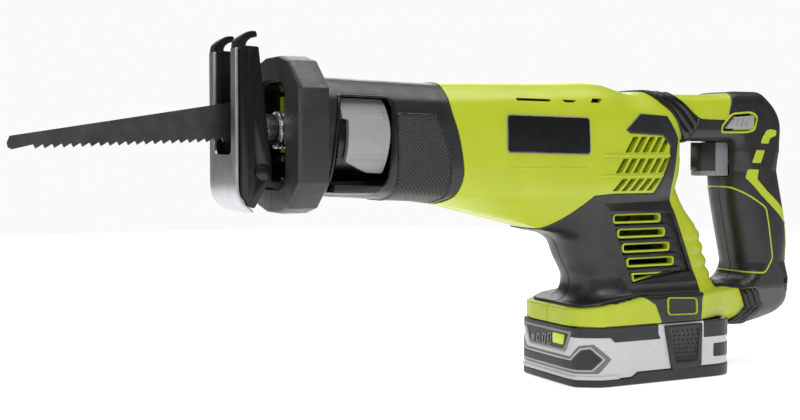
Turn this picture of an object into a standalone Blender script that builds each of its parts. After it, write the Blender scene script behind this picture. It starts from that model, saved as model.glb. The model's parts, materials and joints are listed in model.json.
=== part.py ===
"""Cordless reciprocating saw, modelled as an assembly of separate solids.

Units are metres. X runs along the tool towards the rear handle, so the blade points to -X.
Y runs across the tool, and the left side of the tool is at -Y. Z is up.
The origin is on the face that the battery stands on, below the middle of its stem.
"""

import math

import bmesh
import bpy
from mathutils import Matrix, Vector

# Driving dimensions
MILLIMETRE = 0.001
GAP = 0.0003                    # clearance between pieces that touch
SPLIT = 0.00015                 # half of the gap at the plane where the shells meet
WALL = 0.003                    # thickness of the housing shells
AXIS_Z = 0.158                  # height of the motor and barrel axis
PLUNGER_Z = 0.163               # height of the plunger and the blade clamp
STROKE = 0.022                  # full travel of the blade

BASE_Z = 0.0383                 # underside of the tool's base
NOSE_FRONT_X = -0.2220
NOSE_REAR_X = -0.1460
BOOT_FRONT_X = -0.2490
BOOT_REAR_X = NOSE_FRONT_X - GAP

GEAR_X = -0.128                 # vertical axis of the drive gear
GEAR_TEETH = 45
PINION_RADIUS = 0.006
PINION_TEETH = 10
GEAR_RADIUS = PINION_RADIUS * GEAR_TEETH / PINION_TEETH
GEAR_TOP_Z = AXIS_Z - PINION_RADIUS - 0.0005
CRANK_RADIUS = STROKE / 2

MOTOR_FRONT_X = -0.072
MOTOR_REAR_X = -0.018
CAN_RADIUS = 0.022

PACK_FRONT_X = -0.057
PACK_REAR_X = 0.0665
PACK_HALF_WIDTH = 0.040
PACK_TOP_Z = BASE_Z - GAP
PACK_SPLIT_Z = 0.013
PACK_WALL = 0.0025
CELL_RADIUS = 0.009
CELL_LENGTH = 0.065
CELL_PITCH = 0.0192
STEM_HALF_X = 0.020
STEM_HALF_Y = 0.0125
STEM_TOP_Z = 0.076

SHOE_FACE_X = -0.279
SHOE_PIVOT_X = -0.263
SHOE_PIVOT_Z = 0.139
SHOE_SLOT_HALF = 0.0150
SHOE_SLOT_Z = 0.1485

BLADE_TIP_X = -0.398
BLADE_LENGTH = 0.150
BLADE_THICKNESS = 0.00125
TOOTH_PITCH = 0.005

HANDLE_HALF_WIDTH = 0.0205

# Barrel stations: x, top z, bottom z, half width
BARREL = (
    (NOSE_REAR_X + GAP, 0.1925, 0.1180, 0.0362),
    (-0.1180, 0.1931, 0.1115, 0.0375),
    (-0.0940, 0.1936, 0.1056, 0.0382),
    (-0.0630, 0.1943, 0.0985, 0.0385),
    (-0.0390, 0.1946, 0.0985, 0.0385),
    (-0.0110, 0.1890, 0.1060, 0.0370),
    (0.0120, 0.1875, 0.1150, 0.0335),
    (0.0270, 0.1830, 0.1220, 0.0280),
    (0.0360, 0.1740, 0.1330, 0.0200),
)

# Nose stations: x, top z, bottom z, half width
NOSE = (
    (NOSE_FRONT_X, 0.1945, 0.1235, 0.0345),
    (-0.1900, 0.1935, 0.1215, 0.0350),
    (NOSE_REAR_X, 0.1925, 0.1180, 0.0362),
)

# Column stations: z, front x, rear x, half width
COLUMN = (
    (0.0480, -0.0540, 0.0710, 0.0360),
    (0.0560, -0.0460, 0.0690, 0.0330),
    (0.0660, -0.0395, 0.0655, 0.0295),
    (0.0800, -0.0470, 0.0605, 0.0290),
    (0.0980, -0.0600, 0.0535, 0.0290),
    (0.1120, -0.0740, 0.0425, 0.0290),
    (0.1250, -0.0850, 0.0360, 0.0290),
    (0.1400, -0.0850, 0.0330, 0.0270),
)

# Side outline of the bridge, the rear handle and its foot, as x, z
HANDLE_LOOP = (
    (0.0000, 0.1880), (0.1080, 0.1905), (0.1130, 0.1890), (0.1300, 0.1730), (0.1300, 0.1700),
    (0.1255, 0.1640), (0.1285, 0.1400), (0.1370, 0.1050), (0.1385, 0.0980), (0.1375, 0.0530),
    (0.1345, 0.0430), (0.1265, 0.0370), (0.0945, 0.0295), (0.0620, 0.0345), (0.0620, 0.0560),
    (0.0900, 0.0575), (0.0990, 0.0640), (0.0880, 0.1200), (0.0850, 0.1290), (0.0850, 0.1575),
    (0.0000, 0.1575),
)

# Plan outline of the base, one side, as x, y
BASE_PLAN = (
    (-0.0575, 0.0000), (-0.0560, 0.0250), (-0.0510, 0.0350), (-0.0400, 0.0395), (0.0380, 0.0400),
    (0.0520, 0.0340), (0.0700, 0.0270), (0.0880, 0.0200), (0.0900, 0.0000),
)

# Screws that hold the two shells together, as x, z
HOUSING_SCREWS = (
    (-0.0890, 0.1845), (-0.0880, 0.1125), (0.0020, 0.1790), (-0.0510, 0.1073),
    (0.0500, 0.1730), (0.1130, 0.1790), (0.1125, 0.1080), (0.1220, 0.0500),
)
BOSS_RADIUS = 0.004

COLOURS = {
    "lime_plastic": ((0.50, 0.62, 0.05, 1.0), 0.35, 0.0),
    "dark_plastic": ((0.025, 0.026, 0.028, 1.0), 0.50, 0.0),
    "black_plastic": ((0.012, 0.012, 0.013, 1.0), 0.30, 0.0),
    "grey_plastic": ((0.42, 0.43, 0.44, 1.0), 0.45, 0.0),
    "silver_plastic": ((0.33, 0.34, 0.35, 1.0), 0.38, 0.1),
    "rubber": ((0.020, 0.021, 0.022, 1.0), 0.75, 0.0),
    "cast_aluminium": ((0.55, 0.56, 0.57, 1.0), 0.45, 1.0),
    "steel": ((0.50, 0.50, 0.50, 1.0), 0.28, 1.0),
    "dark_steel": ((0.05, 0.05, 0.05, 1.0), 0.40, 0.6),
    "sintered_bronze": ((0.45, 0.30, 0.14, 1.0), 0.45, 1.0),
    "copper": ((0.70, 0.30, 0.15, 1.0), 0.35, 1.0),
    "magnet": ((0.05, 0.05, 0.055, 1.0), 0.60, 0.3),
    "cell_wrap": ((0.05, 0.22, 0.45, 1.0), 0.40, 0.0),
    "board": ((0.03, 0.18, 0.06, 1.0), 0.45, 0.0),
    "red_sleeve": ((0.45, 0.02, 0.02, 1.0), 0.50, 0.0),
}


def clear_scene():
    for thing in list(bpy.data.objects):
        bpy.data.objects.remove(thing, do_unlink=True)


def new_collection(name):
    made = bpy.data.collections.new(name)
    bpy.context.scene.collection.children.link(made)
    return made


def new_material(name):
    colour, roughness, metallic = COLOURS[name]
    made = bpy.data.materials.new(name)
    made.use_nodes = True
    shader = made.node_tree.nodes["Principled BSDF"]
    shader.inputs["Base Color"].default_value = colour
    shader.inputs["Roughness"].default_value = roughness
    shader.inputs["Metallic"].default_value = metallic
    made.diffuse_color = colour
    return made


clear_scene()
SAW = new_collection("reciprocating_saw")
CUTTERS = new_collection("cutters")
MATERIALS = {name: new_material(name) for name in COLOURS}


# Helpers

def add_object(name, mesh, finish=None):
    """Puts a mesh in the saw's collection, or among the cutters when it has no finish."""
    made = bpy.data.objects.new(name, mesh)
    if finish:
        SAW.objects.link(made)
        mesh.materials.clear()
        mesh.materials.append(MATERIALS[finish])
    else:
        CUTTERS.objects.link(made)
        made.hide_render = True
        made.display_type = "WIRE"
    return made


def from_bmesh(name, shape, finish=None):
    bmesh.ops.recalc_face_normals(shape, faces=shape.faces)
    mesh = bpy.data.meshes.new(name)
    shape.to_mesh(mesh)
    shape.free()
    return add_object(name, mesh, finish)


def block(name, low, high, finish=None, bevel=0.0):
    """A box between two corners, with its edges bevelled if a width is given."""
    shape = bmesh.new()
    bmesh.ops.create_cube(shape, size=1.0)
    size = Vector(high) - Vector(low)
    middle = (Vector(high) + Vector(low)) / 2
    bmesh.ops.scale(shape, vec=size, verts=shape.verts)
    bmesh.ops.translate(shape, vec=middle, verts=shape.verts)
    made = from_bmesh(name, shape, finish)
    if bevel:
        add_bevel(made, bevel)
    return made


def axis_matrix(axis):
    """Turns local Z onto a world axis."""
    turns = {
        "X": Matrix.Rotation(math.radians(90), 4, "Y"),
        "Y": Matrix.Rotation(math.radians(-90), 4, "X"),
        "Z": Matrix.Identity(4),
    }
    return turns[axis]


def rod(name, axis, start, radius, length, finish=None, sides=16):
    """A cylinder that starts at a point and runs along +axis."""
    shape = bmesh.new()
    bmesh.ops.create_cone(shape, cap_ends=True, segments=sides, radius1=radius, radius2=radius, depth=length)
    bmesh.ops.translate(shape, vec=(0, 0, length / 2), verts=shape.verts)
    bmesh.ops.transform(shape, matrix=axis_matrix(axis), verts=shape.verts)
    bmesh.ops.translate(shape, vec=start, verts=shape.verts)
    return from_bmesh(name, shape, finish)


def turned(name, axis, start, profile, finish=None, sides=20):
    """A solid of revolution. The profile is a closed outline of radius and distance along the axis."""
    mesh = bpy.data.meshes.new(name)
    shape = bmesh.new()
    corners = [shape.verts.new((radius, 0, along)) for radius, along in profile]
    closed = all(radius > 0 for radius, _ in profile)
    for first, second in zip(corners, corners[1:] + corners[:1]):
        if closed or first.co.x > 0 or second.co.x > 0:
            shape.edges.new((first, second))
    shape.to_mesh(mesh)
    shape.free()
    made = add_object(name, mesh, finish)
    made.matrix_world = Matrix.Translation(start) @ axis_matrix(axis)
    screw = made.modifiers.new("Turn", "SCREW")
    screw.steps = sides
    screw.render_steps = sides
    screw.use_merge_vertices = True
    screw.merge_threshold = 0.00001
    screw.use_normal_calculate = True
    made.data.materials.clear()
    if finish:
        made.data.materials.append(MATERIALS[finish])
    return solid_copy(made, name, finish)


def ring(name, axis, start, outer, inner, length, finish=None, sides=20):
    """A plain bush or washer."""
    profile = ((outer, length), (outer, 0), (inner, 0), (inner, length))
    return turned(name, axis, start, profile, finish, sides)


def solid_copy(source, name, finish=None):
    """The evaluated shape of an object as a welded mesh whose faces point out. The source goes."""
    bpy.context.view_layer.update()
    graph = bpy.context.evaluated_depsgraph_get()
    mesh = bpy.data.meshes.new_from_object(source.evaluated_get(graph))
    shape = bmesh.new()
    shape.from_mesh(mesh)
    bmesh.ops.transform(shape, matrix=source.matrix_world, verts=shape.verts)
    bmesh.ops.remove_doubles(shape, verts=shape.verts, dist=0.000002)
    bpy.data.objects.remove(source, do_unlink=True)
    return from_bmesh(name, shape, finish)


def flat_outline(name, outlines, plane, low, high, finish=None):
    """A flat outline, with any holes, extruded across its plane from low to high.

    The curve is drawn in millimetres, because very small outlines aren't filled cleanly.
    """
    curve = bpy.data.curves.new(name, "CURVE")
    curve.dimensions = "2D"
    curve.fill_mode = "BOTH"
    curve.extrude = (high - low) / 2 / MILLIMETRE
    for outline in outlines:
        spline = curve.splines.new("POLY")
        spline.points.add(len(outline) - 1)
        for point, (u, v) in zip(spline.points, outline):
            point.co = (u / MILLIMETRE, v / MILLIMETRE, 0, 1)
        spline.use_cyclic_u = True
    made = bpy.data.objects.new(name, curve)
    CUTTERS.objects.link(made)
    middle = (low + high) / 2
    frames = {
        "XZ": Matrix(((1, 0, 0, 0), (0, 0, 1, middle), (0, 1, 0, 0), (0, 0, 0, 1))),
        "YZ": Matrix(((0, 0, 1, middle), (1, 0, 0, 0), (0, 1, 0, 0), (0, 0, 0, 1))),
        "XY": Matrix(((1, 0, 0, 0), (0, 1, 0, 0), (0, 0, 1, middle), (0, 0, 0, 1))),
    }
    made.matrix_world = frames[plane] @ Matrix.Scale(MILLIMETRE, 4)
    return solid_copy(made, name, finish)


def wire(name, points, radius, finish, resolution=2):
    """A round wire through points."""
    curve = bpy.data.curves.new(name, "CURVE")
    curve.dimensions = "3D"
    curve.bevel_depth = radius
    curve.bevel_resolution = resolution
    curve.use_fill_caps = True
    spline = curve.splines.new("POLY")
    spline.points.add(len(points) - 1)
    for point, place in zip(spline.points, points):
        point.co = (*place, 1)
    made = bpy.data.objects.new(name, curve)
    CUTTERS.objects.link(made)
    return solid_copy(made, name, finish)


def smooth_route(knots, count):
    """Evenly numbered points on a Catmull-Rom curve through the knots."""
    padded = [knots[0], *knots, knots[-1]]
    points = []
    spans = len(knots) - 1
    for step in range(count):
        place = step / (count - 1) * spans
        span = min(int(place), spans - 1)
        t = place - span
        a, b, c, d = (Vector(padded[span + k]) for k in range(4))
        points.append(0.5 * (2 * b + (c - a) * t + (2 * a - 5 * b + 4 * c - d) * t ** 2
                             + (3 * b - a - 3 * c + d) * t ** 3))
    return points


def superellipse(half_u, half_v, power, sides):
    """Points round a superellipse, anticlockwise from +u."""
    points = []
    for step in range(sides):
        angle = 2 * math.pi * (step + 0.5) / sides
        c, s = math.cos(angle), math.sin(angle)
        u = half_u * math.copysign(abs(c) ** (2 / power), c)
        v = half_v * math.copysign(abs(s) ** (2 / power), s)
        points.append((u, v))
    return points


def loft(name, rings, finish=None):
    """A closed solid through rings with the same number of points."""
    shape = bmesh.new()
    rows = [[shape.verts.new(place) for place in points] for points in rings]
    for first, second in zip(rows, rows[1:]):
        for k in range(len(first)):
            after = (k + 1) % len(first)
            shape.faces.new((first[k], first[after], second[after], second[k]))
    shape.faces.new(rows[0])
    shape.faces.new(rows[-1])
    return from_bmesh(name, shape, finish)


def tube_rings(stations, inset, power=2.25, sides=24):
    """Rings across X for a barrel given by top, bottom and half width."""
    rings = []
    for x, top, bottom, half in stations:
        middle = (top + bottom) / 2
        points = superellipse(half - inset, (top - bottom) / 2 - inset, power, sides)
        rings.append([(x, y, middle + z) for y, z in points])
    return rings


def column_rings(stations, inset, power=4.0, sides=20):
    """Rings across Z for a column given by front, rear and half width."""
    rings = []
    for z, front, rear, half in stations:
        middle = (front + rear) / 2
        points = superellipse((rear - front) / 2 - inset, half - inset, power, sides)
        rings.append([(middle + x, y, z) for x, y in points])
    return rings


def inset_outline(outline, distance):
    """Moves each side of a closed outline inwards by a distance, keeping its corners."""
    area = sum(a[0] * b[1] - b[0] * a[1] for a, b in zip(outline, outline[1:] + outline[:1]))
    side = 1 if area > 0 else -1
    moved = []
    count = len(outline)
    for k in range(count):
        here = Vector(outline[k])
        before = (here - Vector(outline[k - 1])).normalized()
        after = (Vector(outline[(k + 1) % count]) - here).normalized()
        first = Vector((-before.y, before.x)) * side
        second = Vector((-after.y, after.x)) * side
        corner = (first + second).normalized()
        moved.append(tuple(here + corner * distance / max(corner.dot(first), 0.3)))
    return moved


def add_bevel(target, width, segments=2, angle=40):
    """Rounds the edges sharper than an angle."""
    weld = target.modifiers.new("Weld", "WELD")
    weld.merge_threshold = 0.000001
    bevel = target.modifiers.new("Round", "BEVEL")
    bevel.width = width
    bevel.segments = segments
    bevel.limit_method = "ANGLE"
    bevel.angle_limit = math.radians(angle)
    return bevel


def combine(target, others, operation):
    """Adds one exact Boolean for each of the other solids."""
    for other in others:
        boolean = target.modifiers.new(operation.title(), "BOOLEAN")
        boolean.operation = operation
        boolean.solver = "EXACT"
        boolean.object = other
    return target


def helper(source):
    """Marks a solid as a cutter."""
    for owner in source.users_collection:
        owner.objects.unlink(source)
    CUTTERS.objects.link(source)
    source.hide_render = True
    source.display_type = "WIRE"
    return source


def mirrored(outline):
    """Completes an outline given for one side of the line v = 0."""
    other = [(u, -v) for u, v in reversed(outline) if abs(v) > 1e-9]
    return list(outline) + other


def arc(centre, radius, start, end, steps):
    """Points on an arc, with angles in degrees."""
    points = []
    for step in range(steps + 1):
        angle = math.radians(start + (end - start) * step / steps)
        points.append((centre[0] + radius * math.cos(angle), centre[1] + radius * math.sin(angle)))
    return points


# Housing

def handle_solid(name, inset):
    """The bridge, rear handle and foot in one extruded side outline with rounded edges."""
    outline = list(HANDLE_LOOP)
    half = HANDLE_HALF_WIDTH
    width = 0.0085
    if inset:
        outline = inset_outline(outline, inset)
        half -= inset
        width -= inset
    made = flat_outline(name, [outline], "XZ", -half, half)
    add_bevel(made, width, segments=2, angle=75)
    return made


def base_solid(name, inset, low, high):
    """The block over the battery."""
    outline = mirrored(BASE_PLAN)
    if inset:
        outline = inset_outline(outline, inset)
    made = flat_outline(name, [outline], "XY", low, high)
    return made


def housing_envelope():
    """The outer shape of both shells together."""
    barrel = loft("barrel_outer", tube_rings(BARREL, 0))
    column = loft("column_outer", column_rings(COLUMN, 0))
    base = base_solid("base_outer", 0, BASE_Z, 0.0560)
    loop = handle_solid("handle_outer", 0)
    combine(barrel, [column, base, loop], "UNION")
    return helper(solid_copy(barrel, "housing_outer"))


def housing_cavity():
    """The hollow inside both shells, less the posts for the screws."""
    inner_barrel = [(x, top, bottom, half) for x, top, bottom, half in BARREL]
    first = inner_barrel[0]
    last = inner_barrel[-1]
    inner_barrel[0] = (first[0] - 0.01, *first[1:])
    inner_barrel[-1] = (last[0] - WALL, *last[1:])
    barrel = loft("barrel_inner", tube_rings(inner_barrel, WALL))
    inner_column = list(COLUMN)
    top = inner_column[-1]
    inner_column[-1] = (top[0] - WALL, *top[1:])
    column = loft("column_inner", column_rings(inner_column, WALL))
    base = base_solid("base_inner", WALL, BASE_Z + WALL, 0.0560 - WALL)
    loop = handle_solid("handle_inner", WALL)
    stem = block("stem_hole", (-STEM_HALF_X - 0.0006, -STEM_HALF_Y - 0.0006, 0.020),
                 (STEM_HALF_X + 0.0006, STEM_HALF_Y + 0.0006, 0.060))
    combine(barrel, [column, base, loop, stem], "UNION")
    posts = []
    for number, (x, z) in enumerate(HOUSING_SCREWS, 1):
        posts.append(rod(f"post_{number}", "Y", (x, -0.06, z), BOSS_RADIUS, 0.12, sides=8))
    combine(barrel, posts, "DIFFERENCE")
    return helper(solid_copy(barrel, "housing_hollow"))


def trigger_opening():
    """The mouth in the front of the handle that the trigger moves in."""
    return block("trigger_opening", (0.080, -0.0106, 0.1322), (0.094, 0.0106, 0.1566))


def lock_off_opening():
    return block("lock_off_opening", (0.0800, -0.03, 0.1643), (0.0985, 0.03, 0.1737))


def battery_seat():
    """The flat underside that the battery's rear end slides up against."""
    return block("battery_seat", (0.0500, -0.0410, 0.0300), (PACK_REAR_X + 0.0006, 0.0410, BASE_Z))


def column_slots():
    """See-through cooling slots in both sides of the column."""
    made = []
    for number in range(4):
        low = 0.0760 + number * 0.0097
        front = -0.0150 - number * 0.0037
        made.append(block(f"column_slot_{number + 1}", (front, -0.06, low),
                          (front + 0.036, 0.06, low + 0.0045)))
    return made


def housing_shells():
    outer = housing_envelope()
    hollow = housing_cavity()
    openings = [trigger_opening(), lock_off_opening(), battery_seat(), *column_slots()]
    holes = []
    recesses = []
    for number, (x, z) in enumerate(HOUSING_SCREWS, 1):
        holes.append(rod(f"screw_hole_{number}", "Y", (x, -0.0105, z), 0.0018, 0.030, sides=6))
        recesses.append(rod(f"screw_recess_{number}", "Y", (x, 0.0085, z), 0.0036, 0.05, sides=8))
    sides = {
        "housing_left": ((-0.2, -0.06, 0.0), (0.2, -SPLIT, 0.21)),
        "housing_right": ((-0.2, SPLIT, 0.0), (0.2, 0.06, 0.21)),
    }
    for name, (low, high) in sides.items():
        shell = add_object(name, outer.data.copy(), "lime_plastic")
        half = block(name + "_space", low, high)
        combine(shell, [half], "INTERSECT")
        combine(shell, [hollow, *openings, *holes], "DIFFERENCE")
        if name == "housing_right":
            combine(shell, recesses, "DIFFERENCE")


def housing_screws():
    profile = ((0, 0.0028), (0.0031, 0.0028), (0.0031, 0.0004), (0.0015, 0.0004), (0.0015, -0.0178),
               (0, -0.0178))
    for number, (x, z) in enumerate(HOUSING_SCREWS, 1):
        turned(f"housing_screw_{number}", "Y", (x, 0.0085, z), profile, "dark_steel", sides=10)


def badges():
    """Blank raised plates on both sides of the barrel."""
    for name, side in (("badge_left", -1), ("badge_right", 1)):
        near = side * 0.0389
        far = side * 0.0399
        block(name, (-0.1110, min(near, far), 0.1490), (-0.0520, max(near, far), 0.1720), "black_plastic",
              bevel=0.0004)


# Nose

def nose_grip():
    """The sleeve round the gearcase, with a window for the release lever."""
    sleeve = loft("nose_grip", tube_rings(NOSE, 0, power=2.1), "dark_plastic")
    stations = [(x, top, bottom, half) for x, top, bottom, half in NOSE]
    stations[0] = (NOSE_FRONT_X - 0.01, *stations[0][1:])
    stations[-1] = (NOSE_REAR_X + 0.01, *stations[-1][1:])
    bore = loft("nose_bore", tube_rings(stations, WALL, power=2.1))
    window = block("nose_window", (-0.2185, -0.06, 0.1270), (-0.1865, -0.012, 0.1825))
    combine(sleeve, [bore, window], "DIFFERENCE")


def front_boot():
    """The bumper at the front of the nose, with its tall rounded mouth."""
    outer = [(-0.044, 0.1330), (-0.044, 0.1860), (-0.026, 0.2020), (-0.010, 0.2056), (0.010, 0.2056),
             (0.026, 0.2020), (0.044, 0.1860), (0.044, 0.1330), (0.026, 0.1180), (0.010, 0.1145),
             (-0.010, 0.1145), (-0.026, 0.1180)]
    middle = (outer[0][1] + outer[1][1]) / 2
    scales = ((BOOT_FRONT_X, 0.93), (BOOT_FRONT_X + 0.002, 1.0), (-0.2310, 1.0), (-0.2295, 0.84),
              (BOOT_REAR_X, 0.80))
    rings = [[(x, y * scale, middle + (z - middle) * (scale * 0.25 + 0.75)) for y, z in outer]
             for x, scale in scales]
    boot = loft("front_boot", rings, "rubber")
    mouth = [*arc((0.010, 0.1800), 0.012, 0, 90, 3), *arc((-0.010, 0.1800), 0.012, 90, 180, 3),
             *arc((-0.010, 0.1400), 0.012, 180, 270, 3), *arc((0.010, 0.1400), 0.012, 270, 360, 3)]
    opening = flat_outline("boot_mouth", [mouth], "YZ", -0.26, -0.21)
    combine(boot, [opening], "DIFFERENCE")


def gearcase():
    """The cast case round the drive gear, with the neck that guides the plunger."""
    top_z = 0.1725
    rear = -0.0985
    body = block("gearcase_base", (-0.1580, -0.0262, 0.1500), (rear, 0.0262, top_z), "cast_aluminium",
                 bevel=0.003)
    drum = rod("gearcase_drum", "Z", (GEAR_X, 0, 0.1360), 0.0300, 0.0220, sides=28)
    boss = rod("gearcase_boss", "Z", (GEAR_X, 0, 0.1275), 0.0125, 0.0100, sides=16)
    neck = rod("gearcase_neck", "X", (-0.2260, 0, PLUNGER_Z), 0.0150, 0.0695)
    combine(body, [drum, boss, neck], "UNION")
    pocket = rod("gear_pocket", "Z", (GEAR_X, 0, 0.1415), GEAR_RADIUS + 0.0007, 0.0140, sides=28)
    yoke_room = block("yoke_room", (-0.1555, -0.0195, 0.1540), (-0.0990, 0.0195, 0.1900))
    front_bore = rod("plunger_bore", "X", (-0.2400, 0, PLUNGER_Z), 0.0092, 0.0900)
    shaft_hole = rod("gear_shaft_hole", "Z", (GEAR_X, 0, 0.1300), 0.0093, 0.0150)
    rear_hole = rod("pinion_hole", "X", (-0.1100, 0, AXIS_Z), 0.0085, 0.0200)
    holes = [rod(f"gearcase_screw_hole_{k}", "Z", (x, y, 0.1610), 0.0016, 0.0200, sides=8)
             for k, (x, y) in enumerate(GEARCASE_SCREWS, 1)]
    combine(body, [pocket, yoke_room, front_bore, shaft_hole, rear_hole, *holes], "DIFFERENCE")
    cover = block("gearcase_cover", (-0.1560, -0.0255, top_z + GAP), (-0.1000, 0.0255, top_z + 0.0030),
                  "cast_aluminium", bevel=0.0005)
    lids = [rod(f"cover_hole_{k}", "Z", (x, y, top_z - 0.01), 0.0019, 0.0200, sides=8)
            for k, (x, y) in enumerate(GEARCASE_SCREWS, 1)]
    combine(cover, lids, "DIFFERENCE")
    profile = ((0, 0.0022), (0.0028, 0.0022), (0.0028, GAP), (0.0014, GAP), (0.0014, -0.0100), (0, -0.0100))
    for number, (x, y) in enumerate(GEARCASE_SCREWS, 1):
        turned(f"gearcase_screw_{number}", "Z", (x, y, top_z + 0.0030), profile, "dark_steel", sides=10)


GEARCASE_SCREWS = ((-0.1400, -0.0228), (-0.1060, 0.0228))


def plunger_bushes():
    ring("plunger_bush_front", "X", (-0.2255, 0, PLUNGER_Z), 0.0089, 0.0067, 0.012, "sintered_bronze")
    ring("plunger_bush_rear", "X", (-0.1700, 0, PLUNGER_Z), 0.0089, 0.0067, 0.010, "sintered_bronze")


def release_lever():
    """The quick-release lever, a curved plate that turns round the barrel axis."""
    outer = [*arc((0, AXIS_Z), 0.0305, 130, 216, 9), *arc((0, AXIS_Z), 0.0275, 216, 130, 9)]
    lever = flat_outline("release_lever", [outer], "YZ", -0.2205, -0.1835, "grey_plastic")
    pad_outline = [*arc((0, AXIS_Z), 0.0338, 138, 216, 9), *arc((0, AXIS_Z), 0.0290, 216, 138, 9)]
    pad = flat_outline("lever_pad", [pad_outline], "YZ", -0.2165, -0.1880)
    combine(lever, [pad], "UNION")


# Drive

def drive_gear():
    """The face gear with its crank pin, on a shaft of its own."""
    bottom_z = GEAR_TOP_Z - 0.0085
    profile = ((GEAR_RADIUS, 0.0085), (GEAR_RADIUS, 0.0), (0.0053, 0.0), (0.0053, 0.0070), (0.0190, 0.0070),
               (0.0190, 0.0085))
    gear = turned("drive_gear", "Z", (GEAR_X, 0, bottom_z), profile, "steel", sides=36)
    pin_top = 0.1556
    pin = rod("crank_pin", "Z", (GEAR_X, -CRANK_RADIUS, bottom_z + 0.004), 0.0032, pin_top - bottom_z - 0.004)
    combine(gear, [pin], "UNION")
    rod("gear_shaft", "Z", (GEAR_X, 0, 0.1305), 0.0050, bottom_z + 0.0065 - 0.1305, "steel")
    ring("gear_bearing", "Z", (GEAR_X, 0, 0.1305), 0.0090, 0.0053, 0.009, "steel")


def plunger():
    """The reciprocating rod and the yoke that the crank pin drives."""
    yoke_front = GEAR_X - 0.0070
    yoke = block("plunger", (yoke_front, -0.0185, 0.1560), (GEAR_X + 0.0070, 0.0185, 0.1700), "steel",
                 bevel=0.0010)
    rod_front = -0.2462
    stem = rod("plunger_rod", "X", (rod_front, 0, PLUNGER_Z), 0.0063, yoke_front - rod_front + 0.0020,
               sides=20)
    combine(yoke, [stem], "UNION")
    slot = block("yoke_slot", (GEAR_X - 0.0036, -0.0148, 0.1500), (GEAR_X + 0.0036, 0.0148, 0.1800))
    combine(yoke, [slot], "DIFFERENCE")


def blade_clamp():
    """The collar that holds the blade's tang on the end of the plunger."""
    rear = -0.2420
    profile = ((0.0066, 0.0), (0.0066, -0.0045), (0.0, -0.0045), (0.0, -0.0220), (0.0078, -0.0220),
               (0.0093, -0.0180), (0.0093, 0.0))
    clamp = turned("blade_clamp", "X", (rear, 0, PLUNGER_Z), profile, "steel")
    slit_rear = BLADE_TIP_X + BLADE_LENGTH + 0.0004
    slit = block("clamp_slit", (-0.2700, -0.0010, 0.1558), (slit_rear, 0.0010, 0.1702))
    combine(clamp, [slit], "DIFFERENCE")


def clamp_spring():
    """The coil behind the blade clamp."""
    turns = 2
    steps = 12
    start = -0.2409
    length = 0.0027
    radius = 0.0078
    points = []
    for step in range(turns * steps + 1):
        angle = 2 * math.pi * step / steps
        along = start + length * step / (turns * steps)
        points.append((along, radius * math.cos(angle), PLUNGER_Z + radius * math.sin(angle)))
    wire("clamp_spring", points, 0.0006, "steel", resolution=1)


def blade():
    """A tapered wood-cutting blade, its teeth raked towards the tool."""
    root = BLADE_TIP_X + BLADE_LENGTH
    tooth_start = (-0.3930, 0.1520)
    tooth_end = (-0.2780, 0.1562)
    outline = [(root, 0.1695), (root, 0.1565), (-0.2660, 0.1565), tooth_end]
    count = int((tooth_end[0] - tooth_start[0]) / TOOTH_PITCH)
    slope = (tooth_end[1] - tooth_start[1]) / (tooth_end[0] - tooth_start[0])
    for number in range(count):
        x = tooth_end[0] - number * TOOTH_PITCH
        z = tooth_end[1] - number * TOOTH_PITCH * slope
        outline.append((x - 0.0003, z))
        outline.append((x - 0.0014, z + 0.0022))
    outline += [(-0.3955, 0.1520), (-0.3975, 0.1530), (BLADE_TIP_X, 0.1555), (-0.3965, 0.1592),
                (-0.2730, 0.1788), (-0.2660, 0.1780), (-0.2640, 0.1695)]
    half = BLADE_THICKNESS / 2
    flat_outline("blade", [outline], "XZ", -half, half, "dark_steel")


# Motor

def motor():
    length = MOTOR_REAR_X - MOTOR_FRONT_X
    profile = ((CAN_RADIUS, length), (CAN_RADIUS, 0.0), (0.0085, 0.0), (0.0085, 0.0015), (0.0202, 0.0015),
               (0.0202, length))
    turned("motor_can", "X", (MOTOR_FRONT_X, 0, AXIS_Z), profile, "steel", sides=24)
    for name, middle in (("magnet_upper", 90), ("magnet_lower", 270)):
        outline = [*arc((0, AXIS_Z), 0.0199, middle - 60, middle + 60, 8),
                   *arc((0, AXIS_Z), 0.0150, middle + 60, middle - 60, 8)]
        flat_outline(name, [outline], "YZ", MOTOR_FRONT_X + 0.008, MOTOR_REAR_X - 0.010, "magnet")
    ring("motor_bearing_front", "X", (MOTOR_FRONT_X - 0.0045, 0, AXIS_Z), 0.0080, 0.0028, 0.005, "steel")
    ring("motor_bearing_rear", "X", (-0.0115, 0, AXIS_Z), 0.0065, 0.0028, 0.005, "steel")
    plate_profile = ((CAN_RADIUS, 0.0090), (CAN_RADIUS, 0.0), (0.0110, 0.0), (0.0110, 0.0055),
                     (0.0068, 0.0055), (0.0068, 0.0090))
    turned("brush_plate", "X", (MOTOR_REAR_X + GAP, 0, AXIS_Z), plate_profile, "black_plastic", sides=24)


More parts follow.
